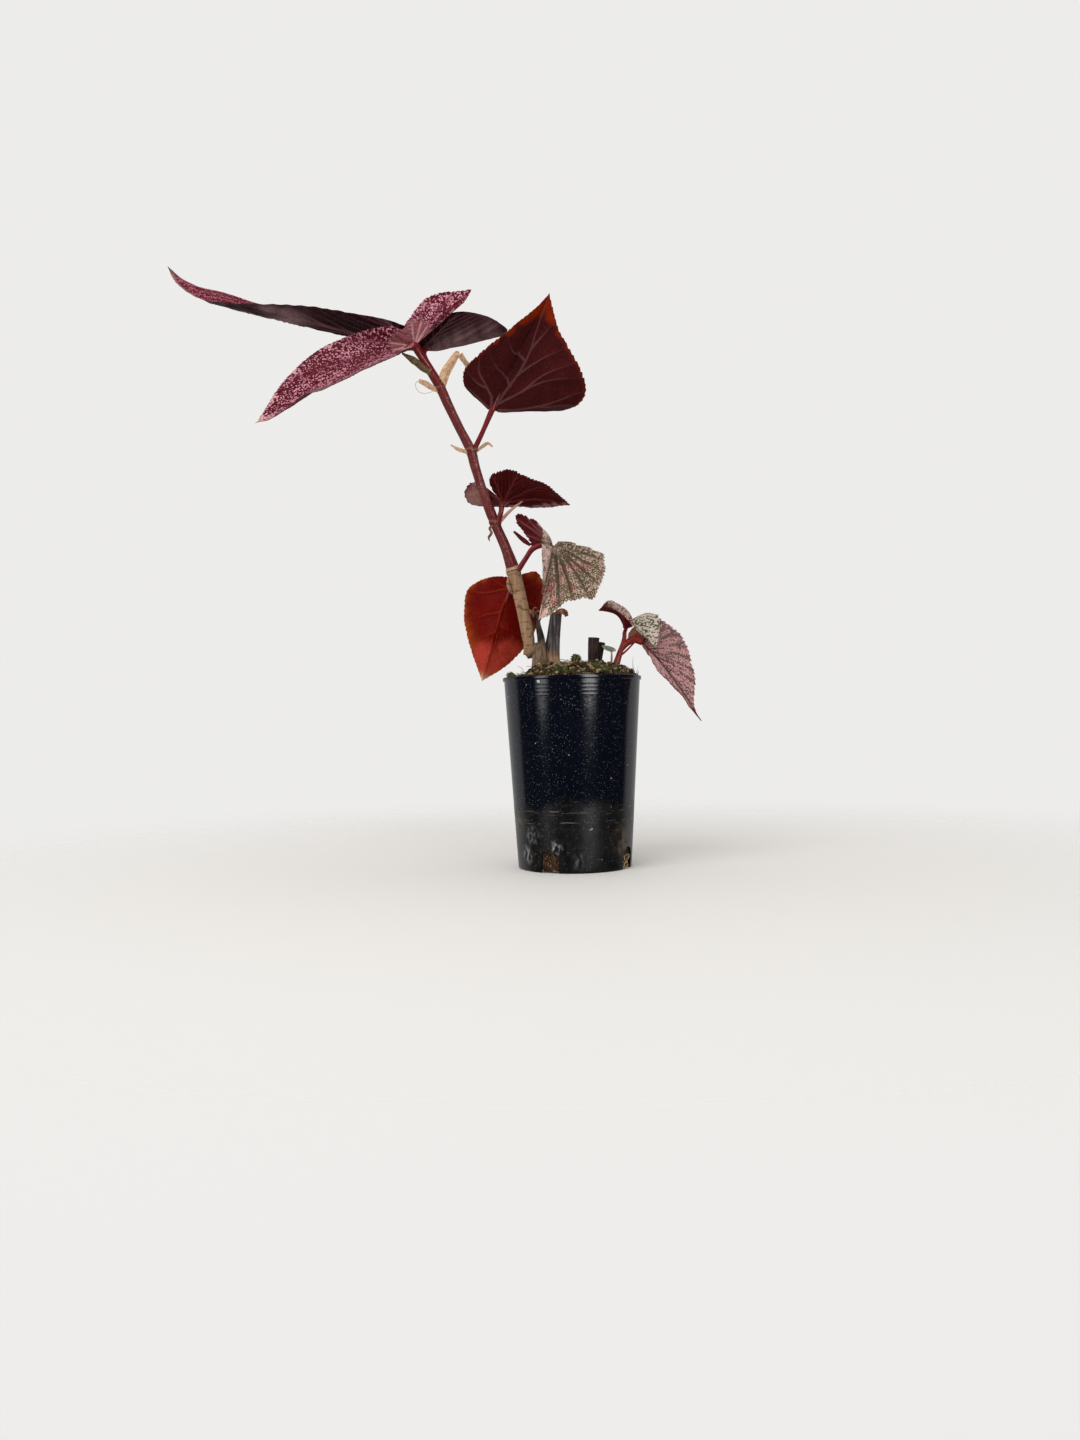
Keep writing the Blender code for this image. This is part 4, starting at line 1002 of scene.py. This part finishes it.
build = Build()
build.tube([(12, 4, 110), (13, 4, 124), (14.4, 4, 140.2)], [2.7, 2.8, 3.2], 50, 44,
           ripple=ribbed(11, 0.2, 0.5))
build.tube([(14, 5, 110), (16.3, 6, 124), (19.5, 7, 137.3)], [2.2, 2.0, 1.8], 50, 36,
           ripple=ribbed(9, 0.24, 0.8))
build.make("black_stub_bark", [bark("black_bark", (0.006, 0.0035, 0.003), (0.065, 0.038, 0.03), 0.07, 0.8)],
           "black_wood", "black_stub")

# The young red shoot with its twig, and the seedling beside it
build = Build()
build.tube([(24.6, -4, 112), (26.5, -4, 121), (29, -4, 129), (32, -5, 138), (32.4, -5.6, 142.4)],
           [2.9, 2.4, 1.9, 1.4, 1.25], 80, 24, ripple=ribbed(7, 0.07, 2))
build.tube([(29.6, -4, 131), (34, -5, 136), (38.5, -6, 138.2), (43.2, -6.5, 136.4)],
           [1.3, 1.8, 2.6, 2.3], 50, 20)
build.tube([(28.6, -4, 127.5), (33.5, -5, 131.5), (38.5, -6, 136.5)], [0.7, 0.6, 0.5], 40, 12)
shoot_red = red_stalk("shoot_red", (0.38, 0.035, 0.022), (0.13, 0.006, 0.006))
build.make("shoot_stems", [shoot_red], "shoot", "side_shoot")

green = speckled("seedling_green", (0.24, 0.3, 0.2), (0.42, 0.46, 0.38), (0.4, 0.44, 0.36),
                 (0.2, 0.25, 0.17), (0.3, 0.3, 0.22), (0.3, 0.33, 0.26), dot_size=0.8, hub_size=0.5)
leaf("seedling_leaf", "seedling", "seedling", (24, -9, 130.6),
     [(27, -9.5, 131), (26, -6, 133), (22, -5.5, 134.5)], (18, -9, 134.5), [(20, -11.5, 132), (23, -11, 131)],
     [(23.5, -9, 115), (24, -9, 126)], green, green,
     red_stalk("seedling_stalk", (0.42, 0.2, 0.17), (0.25, 0.1, 0.09)), stalk_radius=0.55, teeth=20,
     tooth=0.3, branches=2, pleat=0.2, ridge=0.1, rim_step=0.4, row_step=0.5)

# The dry papery scales at the joints, a rosy strand, and the sheath of the top bud
paper = paper_skin("dry_paper", (0.42, 0.22, 0.11), (0.78, 0.58, 0.4), (0.5, 0.24, 0.12))
brown = paper_skin("dry_brown_paper", (0.1, 0.05, 0.025), (0.32, 0.2, 0.1), (0.1, 0.04, 0.02))
amber = paper_skin("amber_paper", (0.2, 0.07, 0.03), (0.45, 0.22, 0.11), (0.2, 0.05, 0.03))
rosy = paper_skin("rosy_strand", (0.42, 0.2, 0.16), (0.66, 0.42, 0.34), (0.4, 0.16, 0.12))
sheath = paper_skin("sheath_skin", (0.05, 0.03, 0.014), (0.2, 0.14, 0.065), (0.12, 0.03, 0.02))
for seed, (node, skin, widths, across, points) in enumerate([
        ("stipule_top_left", paper, [3.0, 3.8, 4.4, 2.6], (0.2, 0.3, 1),
         [(-78, -3, 292.4), (-81, -5, 293.2), (-85.5, -7.6, 295.4), (-89.6, -9.2, 296.6)]),
        ("stipule_top_right", paper, [4.6, 6.2, 5.8, 4.8, 3.8, 3.2, 4.4], (1, 0.3, -0.4),
         [(-76.6, -2.6, 294), (-75.6, -2.8, 299), (-73.6, -3, 304), (-70.2, -3.3, 309.2),
          (-66, -4, 314.4), (-62.9, -2, 311.2), (-59, 2, 307.4)]),
        ("stipule_mid_left", paper, [2.4, 2.8, 0.9], (0.2, 0.3, 1),
         [(-61, -3.4, 254.4), (-66.4, -8, 255), (-71, -11, 257)]),
        ("stipule_mid_right", paper, [2.2, 2.6, 1.0], (0.4, 0.2, 1),
         [(-56, 0, 256), (-50, 7, 262), (-46.5, 9, 260.5)]),
        ("stipule_low", brown, [1.2, 1.8, 1.6, 1.8, 0.4], (1, 0.3, 0.2),
         [(-46, -1.6, 210), (-48.6, -3.6, 207.5), (-47.6, -4.6, 204.6), (-49.3, -4, 202),
          (-48.9, -4, 199.6)]),
        ("shoot_scale", amber, [3.5, 5.5, 5.5, 3.0], (0.8, 0, -0.6),
         [(36, -4.6, 137.6), (37.6, -4.4, 141), (40, -4.6, 143.6), (43, -5, 142.6)])]):
    build = Build()
    build.ribbon(points, widths, across, seed=seed)
    if node == "stipule_top_left":
        build.tube([(-89.2, -9, 297), (-91.4, -9.6, 295.4), (-91.6, -9.5, 292.8), (-90, -9, 290.2),
                    (-87, -8, 289.2), (-83, -6, 290.6), (-79, -4, 292.6)], [0.17, 0.15, 0.15], 50, 6)
    build.make(node + "_paper", [skin], "dry_paper", node)
build = Build()
build.ribbon([(-43.6, -2.8, 209.8), (-38.6, -4.6, 215.2), (-33.5, -6.4, 219.4), (-28.5, -8.4, 222.6)],
             [2.2, 2.0, 1.6, 0.7], (0.6, 0.3, -0.6), cup=0.5, seed=21)
build.make("rosy_strand", [rosy], "dry_paper")
build = Build()
build.ribbon([(-81, -4.6, 302), (-86, -7, 305.6), (-92, -10.5, 309.4), (-99, -14, 312)],
             [3.2, 5.4, 5.6, 1.2], (0.3, 0.5, 1), cup=0.7, seed=11)
build.make("bud_sheath_skin", [sheath], "sheath", "bud_sheath")


def wall_radius(height):
    return BASE_RADIUS + (RIM_RADIUS - LIP_DEPTH - BASE_RADIUS) * height / POT_HEIGHT


def rounded(radius, level, bevel, start):
    """A quarter turn of an outline from the starting angle in degrees"""
    turns = [math.radians(start + 90 * step / BEVEL_STEPS) for step in range(BEVEL_STEPS + 1)]
    return [(radius - bevel + bevel * math.cos(turn), level + bevel * math.sin(turn)) for turn in turns]


def notch_ways(angle):
    """The way outwards through a drain notch, and the way across it"""
    outwards = np.array((math.cos(math.radians(angle)), math.sin(math.radians(angle)), 0))
    return outwards, np.cross(UP, outwards)


# Glossy blue-black plastic, dusty towards its foot, with specks, scuffs and fine scratches
paint = Paint("pot_plastic")
height = paint.height()
wander = paint.noise(18, 4)
dust = (height + wander * 0.022).step(0.056, 0.047)
colour = paint.noise(20, 3).mix((0.0011, 0.0018, 0.0046), (0.003, 0.0046, 0.0105))
grime = paint.noise(5, 5).step(0.35, 0.65).mix((0.0028, 0.003, 0.004), (0.0085, 0.0072, 0.0068))
earthy = paint.near(29, -21, 18, 15).most(paint.near(-34, -10, 28, 14)) * paint.noise(4, 4).step(0.35, 0.6)
grime = (earthy * 0.85).mix(grime, (0.075, 0.05, 0.032))
colour = dust.mix(colour, grime)
patchy = paint.noise(9, 3).step(0.2, 0.6)
specks = paint.cells(1.0)
faint = specks.step(0.3, 0.14) * specks.luck().step(0.3, 1.0) * patchy * 0.3
grains = paint.cells(5.5)
bright = grains.step(0.085, 0.05) * grains.luck().step(0.45, 0.9)
hair = paint.noise(1.1, 2, paint.scaled(0.3, 0.3, 2.4)).step(0.66, 0.74)
marks = faint.most(bright).most(hair * patchy * 0.06)
scuffed = paint.noise(2.4, 5, paint.scaled(1, 1, 0.6)).step(0.46, 0.62)
for x, y, z, size, strength in ((-28.8, -20, 10, 8, 0.5), (-12.6, -33, 14.8, 6, 0.6), (2, -35, 7, 7, 0.2),
                                (-26, -24.8, 21.7, 8, 0.3), (26, -23, 14, 6, 0.2), (33, 14, 9, 9, 0.3),
                                (-14, 32, 12, 9, 0.25), (10, 34, 22, 7, 0.2)):
    marks = marks.most(paint.near(x, y, z, size) * scuffed * strength)
scratches = paint.noise(1.2, 2, paint.scaled(0.12, 0.12, 3)).step(0.6, 0.68)
for low, high, strength in ((34.6, 36.4, 0.3), (29, 30.6, 0.35), (24, 26, 0.12)):
    band = height.step((low - 0.4) * MM, low * MM) * height.step((high + 0.4) * MM, high * MM)
    marks = marks.most(scratches * band * strength)
spots = paint.near(-3.6, -38.7, 69.5, 0.6).most(paint.near(9.1, -35, 26.1, 0.9))
spots = spots.most(paint.near(8.2, -35.2, 25.7, 1.1) * 0.5)
marks = marks.most(spots * 0.8)
colour = marks.mix(colour, (0.42, 0.42, 0.42))
paint.bump(paint.noise(2.5, 3), 0.02)
pot_plastic = paint.done(colour, dust * 0.2 + wander * 0.06 + marks * 0.3 + 0.07)

# The pot's outline from the middle of its underside up, over the lip and down inside
profile = [(0, 0.8), (BASE_RADIUS - 6, 0.8), (BASE_RADIUS - 4.5, 0)]
profile += rounded(BASE_RADIUS, FOOT_BEVEL, FOOT_BEVEL, -90)
profile += [(wall_radius(height), height) for height in range(4, 103, 3)]
for height in RING_HEIGHTS:
    for step in range(-4, 5):
        level = height + RING_HALF * step / 4
        profile.append((wall_radius(level) + RING_RISE * math.cos(math.pi / 8 * step) ** 2, level))
lip = POT_HEIGHT - LIP_HEIGHT
profile.append((wall_radius(lip), lip))
profile += rounded(RIM_RADIUS, lip + LIP_BEVEL, LIP_BEVEL, -90)
profile += rounded(RIM_RADIUS, POT_HEIGHT - LIP_BEVEL, LIP_BEVEL, 0)
inner = wall_radius(POT_HEIGHT) - POT_WALL
profile += [(inner + 0.3, POT_HEIGHT), (inner, POT_HEIGHT - 0.3), (inner - 0.2, POT_HEIGHT - 8)]
profile += [(wall_radius(POT_FLOOR) - POT_WALL, POT_FLOOR), (0, POT_FLOOR)]
build = Build()
build.turned(profile[0][1], profile[-1][1], [ring(*place, POT_SIDES) for place in profile[1:-1]], POT_SIDES)
pot = build.make("pot_shell", [pot_plastic], "pot_plastic", "nursery_pot")

# The four arched drain notches, cut out of the foot of the wall
half = NOTCH_WIDTH / 2
arch = [(-half, -1)]
for step in range(NOTCH_STEPS + 1):
    turn = math.pi * (1 - step / NOTCH_STEPS)
    arch.append((half * math.cos(turn), NOTCH_HEIGHT - half + half * math.sin(turn)))
arch.append((half, -1))
count = len(arch)
build = Build()
for angle in NOTCH_ANGLES:
    outwards, across = notch_ways(angle)
    corners = []
    for reach in (BASE_RADIUS - NOTCH_DEPTH, BASE_RADIUS + NOTCH_DEPTH):
        corners += [outwards * reach + across * x + UP * z for x, z in arch]
    faces = [range(count), range(2 * count - 1, count - 1, -1)]
    for i in range(count):
        after = (i + 1) % count
        faces.append((i, count + i, count + after, after))
    build.add(corners, faces)
cutter = build.object("cutter")
cut = pot.modifiers.new("cut", "BOOLEAN")
cut.object = cutter
cut.solver = "EXACT"
pot.data = bpy.data.meshes.new_from_object(pot.evaluated_get(bpy.context.evaluated_depsgraph_get()))
pot.modifiers.clear()
pot.data.shade_smooth()
pot.data.set_sharp_from_angle(angle=math.radians(POT_SHARP_ANGLE))
bpy.data.objects.remove(cutter)

# The soil's skins, in the order of their slots
paint = Paint("soil_dark", 0.95, 0.15)
grain = paint.noise(1.6, 5)
colour = grain.step(0.35, 0.65).mix((0.006, 0.004, 0.003), (0.06, 0.034, 0.02))
colour = paint.noise(0.7, 2).step(0.6, 0.74).mix(colour, (0.3, 0.19, 0.1))
colour = (paint.noise(6, 3).step(0.5, 0.62) * 0.5).mix(colour, (0.06, 0.05, 0.014))
paint.bump(grain, 1.2)
soil_skins = [
    paint.done(colour),
    bark("coir", (0.07, 0.036, 0.018), (0.3, 0.18, 0.09), size=1.5),
    bark("root_pale", (0.3, 0.2, 0.09), (0.62, 0.49, 0.3), size=1.5),
    bark("perlite", (0.5, 0.48, 0.44), (0.85, 0.84, 0.8), depth=0.2),
    bark("moss", (0.01, 0.014, 0.004), (0.12, 0.125, 0.035), size=0.9),
    bark("red_coir", (0.02, 0.007, 0.004), (0.13, 0.045, 0.022), size=1.2),
    bark("crumb_tan", (0.08, 0.05, 0.024), (0.44, 0.31, 0.17)),
    bark("crumb_olive", (0.06, 0.052, 0.016), (0.32, 0.28, 0.1)),
]


def soil_height(x, y):
    """A mound that is highest right of the middle and falls off steeply on its left side"""
    inwards = max(0.0, 1 - math.hypot(x - MOUND_X, y - MOUND_Y) / MOUND_REACH)
    mound = SOIL_RISE * (1 - (1 - inwards) ** 4)
    lumps = math.sin(x * 0.55 + 1.3) * math.sin(y * 0.5) + 0.7 * math.sin(x * 0.9 - y * 0.75 + 2)
    hollow = 3.4 * min(1.0, max(0.0, (-22 - x) / 7))
    settled = LUMP_HEIGHT * lumps - SETTLED - hollow
    return SOIL_EDGE + mound + settled * min(1.0, 4 * inwards)


def spot(draw, reach_limit):
    """A place on the soil, drawn evenly within the reach"""
    reach = reach_limit * math.sqrt(draw.random())
    turn = draw.uniform(0, FULL_TURN)
    return reach * math.cos(turn), reach * math.sin(turn)


# The heaped soil
draw = random.Random(SOIL_SEED)
build = Build()
low = POT_FLOOR + SOIL_GAP
low_radius = wall_radius(low) - POT_WALL - SOIL_GAP
top_radius = wall_radius(SOIL_EDGE) - POT_WALL - SOIL_GAP
rings = []
for i in range(SOIL_WALL_ROWS):
    share = i / SOIL_WALL_ROWS
    reach = low_radius + (top_radius - low_radius) * share
    rings.append(ring(reach, low + (SOIL_EDGE - low) * share, SOIL_SIDES))
for i in range(SOIL_ROWS):
    rings.append([])
    for x, y, _ in ring(top_radius * (1 - i / SOIL_ROWS), 0, SOIL_SIDES):
        rough = noise.noise((x * 0.3, y * 0.3, 3)) + 0.6 * noise.noise((x * 0.8, y * 0.8, 7))
        rings[-1].append((x, y, soil_height(x, y) + (1.3 * rough - 0.5) * min(1, i / 3)))
build.turned(low, soil_height(0, 0), rings, SOIL_SIDES)

# Its crumbs and fibres
for i in range(CRUMBS):
    x, y = spot(draw, CRUMB_REACH)
    kind = draw.choice((EARTH, EARTH, EARTH, TAN, TAN, OLIVE))
    build.lump((x, y, soil_height(x, y) + 0.1), draw.uniform(0.5, 1.0) ** 2 * 1.6, i, kind, rough=0.6)
for i in range(FIBRES):
    x, y = spot(draw, FIBRE_REACH)
    turn = draw.uniform(0, ANY_TURN)
    length = draw.uniform(1.5, 5)
    level = soil_height(x, y)
    points = []
    for share in (-1, -0.3, 0.4, 1):
        points.append((x + share * length * math.cos(turn) + draw.uniform(-0.8, 0.8),
                       y + share * length * math.sin(turn) + draw.uniform(-0.8, 0.8),
                       level + draw.uniform(0, 1.8)))
    if max(math.hypot(x, y) for x, y, _ in points) < FIBRE_END_REACH:
        build.tube(points, [0.1, 0.18, 0.1], 12, 5, draw.choice((COIR, COIR, COIR, RED_COIR, ROOT)))

# Cushions of moss, and grains of perlite
for i, (x, y, z, size) in enumerate([
        (2.4, -7, 126.5, 3.4), (13.6, -27, 121.4, 3.2), (18.4, -33, 118.8, 2.8), (-9.5, -33, 119.0, 3.0),
        (-5.0, -34, 118.6, 2.7), (-37.6, -6, 117.0, 2.7), (-35.5, -12, 116.4, 2.0), (25, -22, 120.4, 2.0),
        (-2, 20, 123, 2.6), (20, 22, 120, 2.4), (-18, 22, 119, 2.6)]):
    build.lump((x, y, z), size * 0.86, 900 + i, MOSS, rough=0.2, flat=0.95)
    for _ in range(SPROUTS):
        way = Vector((draw.gauss(0, 1), draw.gauss(0, 1), draw.gauss(0.3, 1))).normalized()
        build.sprout(Vector((x, y, z)) + way * size * 0.72, way, draw, size * 0.42)
for i, (x, y, z, size) in enumerate([
        (-21.8, -1, 125.4, 1.3), (15.6, 0, 126, 1.0), (-20, -6, 124, 0.7), (30, -20, 117.6, 0.8),
        (4, -30, 119.3, 0.6), (22, 20, 119, 1.2), (-15, 25, 118.2, 1.4), (6, 33, 117, 1.1)]):
    build.lump((x, y, z), size, 950 + i, PERLITE, rough=0.5)
build.lump((-20.5, -36.2, 112.5), 0.8, 980, PERLITE, rough=0.6)

# Two roots, and the hairs and the sprig at the right edge
build.tube([(-7, -8, 126.6), (-2, -19, 124.6), (6.6, -33, 118.6)], [0.25, 0.3, 0.2], 30, 8, ROOT)
build.tube([(-29, -10, 119), (-30.5, -11, 121.5), (-33, -12, 122.6)], [0.15, 0.15, 0.1], 16, 6, ROOT)
for i, (x, lean, top) in enumerate([(36.4, 0.6, 127.5), (37.6, -1.2, 125), (38.6, 1.5, 121.5),
                                    (35, -2, 122)]):
    build.tube([(x, -9, 114.5), (x + lean * 0.4, -9.4, (top + 116) / 2), (x + lean, -9 - i, top)],
               [0.2, 0.17, 0.1], 20, 5, PERLITE)
build.tube([(38.4, -8, 114), (39.6, -9, 116.6), (40, -9, 118.6)], [0.5, 0.35, 0.15], 16, 8, RED_COIR)

# The crumbs and roots that show in the drain notches
for number, angle in enumerate(NOTCH_ANGLES):
    outwards, across = notch_ways(angle)
    for i in range(NOTCH_CRUMBS):
        side = draw.uniform(-5.2, 5.2)
        level = draw.uniform(1.6, 12.2 - abs(side) * 0.5)
        place = outwards * draw.uniform(31.2, 33.0) + across * side + UP * level
        size = draw.uniform(0.4, 1.0)
        build.lump(place, size, 1000 + 100 * number + i, draw.choice((RED_COIR, RED_COIR, EARTH)), rough=0.9)
    for i in range(NOTCH_ROOTS):
        points = []
        side = draw.uniform(-4.6, 4.6)
        level = draw.uniform(1.2, 9)
        for _ in range(4):
            points.append(outwards * draw.uniform(32.6, 34.0) + across * side + UP * level)
            side = min(5, max(-5, side + draw.uniform(-2.6, 2.6)))
            level = min(11, max(1, level + draw.uniform(-2.6, 2.6)))
        root = ROOT if number == 1 else draw.choice((COIR, RED_COIR, RED_COIR))
        build.tube(points, [0.12, 0.22, 0.12], 12, 5, root)
build.make("soil_heap", soil_skins, "soil", "potting_soil")

# The world: bright behind the plant, and dark in front but for two tall soft lights
world = bpy.data.worlds.new("studio")
bpy.context.scene.world = world
sky = Sky(world)
away = sky.node("ShaderNodeSeparateXYZ", {0: sky.node("ShaderNodeTexCoord", output="Generated")}, "Y")
azimuth = away.beside("X").maths("ARCTAN2", away * -1.0)
below = away.beside("Z").step(-0.075, -0.112)
seen = away.step(0.2, 0.42) * 0.42
for middle, half, power in ((-53.5, 15, 3.0), (28, 17, 6.0)):
    aside = abs(azimuth - math.radians(middle)) * (1 / math.radians(half))
    seen = seen.most((aside + below).step(1.0, 0.3) * power)
ray = sky.node("ShaderNodeLightPath", output="Is Glossy Ray")
bright = ray.mix((0.85, 0.83, 0.8), seen + 0.02)
bright = ray.beside("Is Camera Ray").mix(bright, (0.845, 0.84, 0.83))
sky.feed(sky.shader.inputs["Color"], bright)

lamp = bpy.data.lights.new("key", "AREA")
lamp.energy = 16
lamp.size = 1.2
lamp.color = (1.0, 0.98, 0.95)
key = link(bpy.data.objects.new("key", lamp))
key.location = (-0.7, -1.1, 1.3)
key.rotation_euler = (Vector((0, 0, 0.15)) - key.location).to_track_quat("-Z", "Y").to_euler()
key.visible_glossy = False

# The pale floor, which fades out round the pot
build = Build()
build.add(ring(FLOOR_RADIUS, 0, FLOOR_SIDES), [range(FLOOR_SIDES)])
floor = build.object("floor")
floor.visible_glossy = False
paint = Paint("floor_pale", 0.7)
far = paint.vector("LENGTH", {0: paint.place}, "Value").step(0.06, 0.62)
clear = paint.node("ShaderNodeBsdfTransparent")
blend = paint.node("ShaderNodeMixShader", {0: far, 1: Value(paint, paint.shader.outputs[0]), 2: clear})
paint.feed(paint.tree.nodes["Material Output"].inputs["Surface"], blend)
floor.data.materials.append(paint.done((0.74, 0.73, 0.715)))
floor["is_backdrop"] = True

# The camera, which stands where the photo was taken from
camera = bpy.data.cameras.new("camera")
camera.sensor_width = SENSOR
camera.lens = FOCAL_PIXELS / PICTURE_HEIGHT * SENSOR
camera.clip_start = 0.01
viewer = link(bpy.data.objects.new("camera", camera))
viewer.location = Vector(CAMERA_PLACE) * MM
viewer.rotation_euler = (math.pi / 2, math.radians(CAMERA_ROLL), 0)
bpy.context.scene.camera = viewer
bpy.context.scene.view_settings.view_transform = "Standard"

low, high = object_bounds()
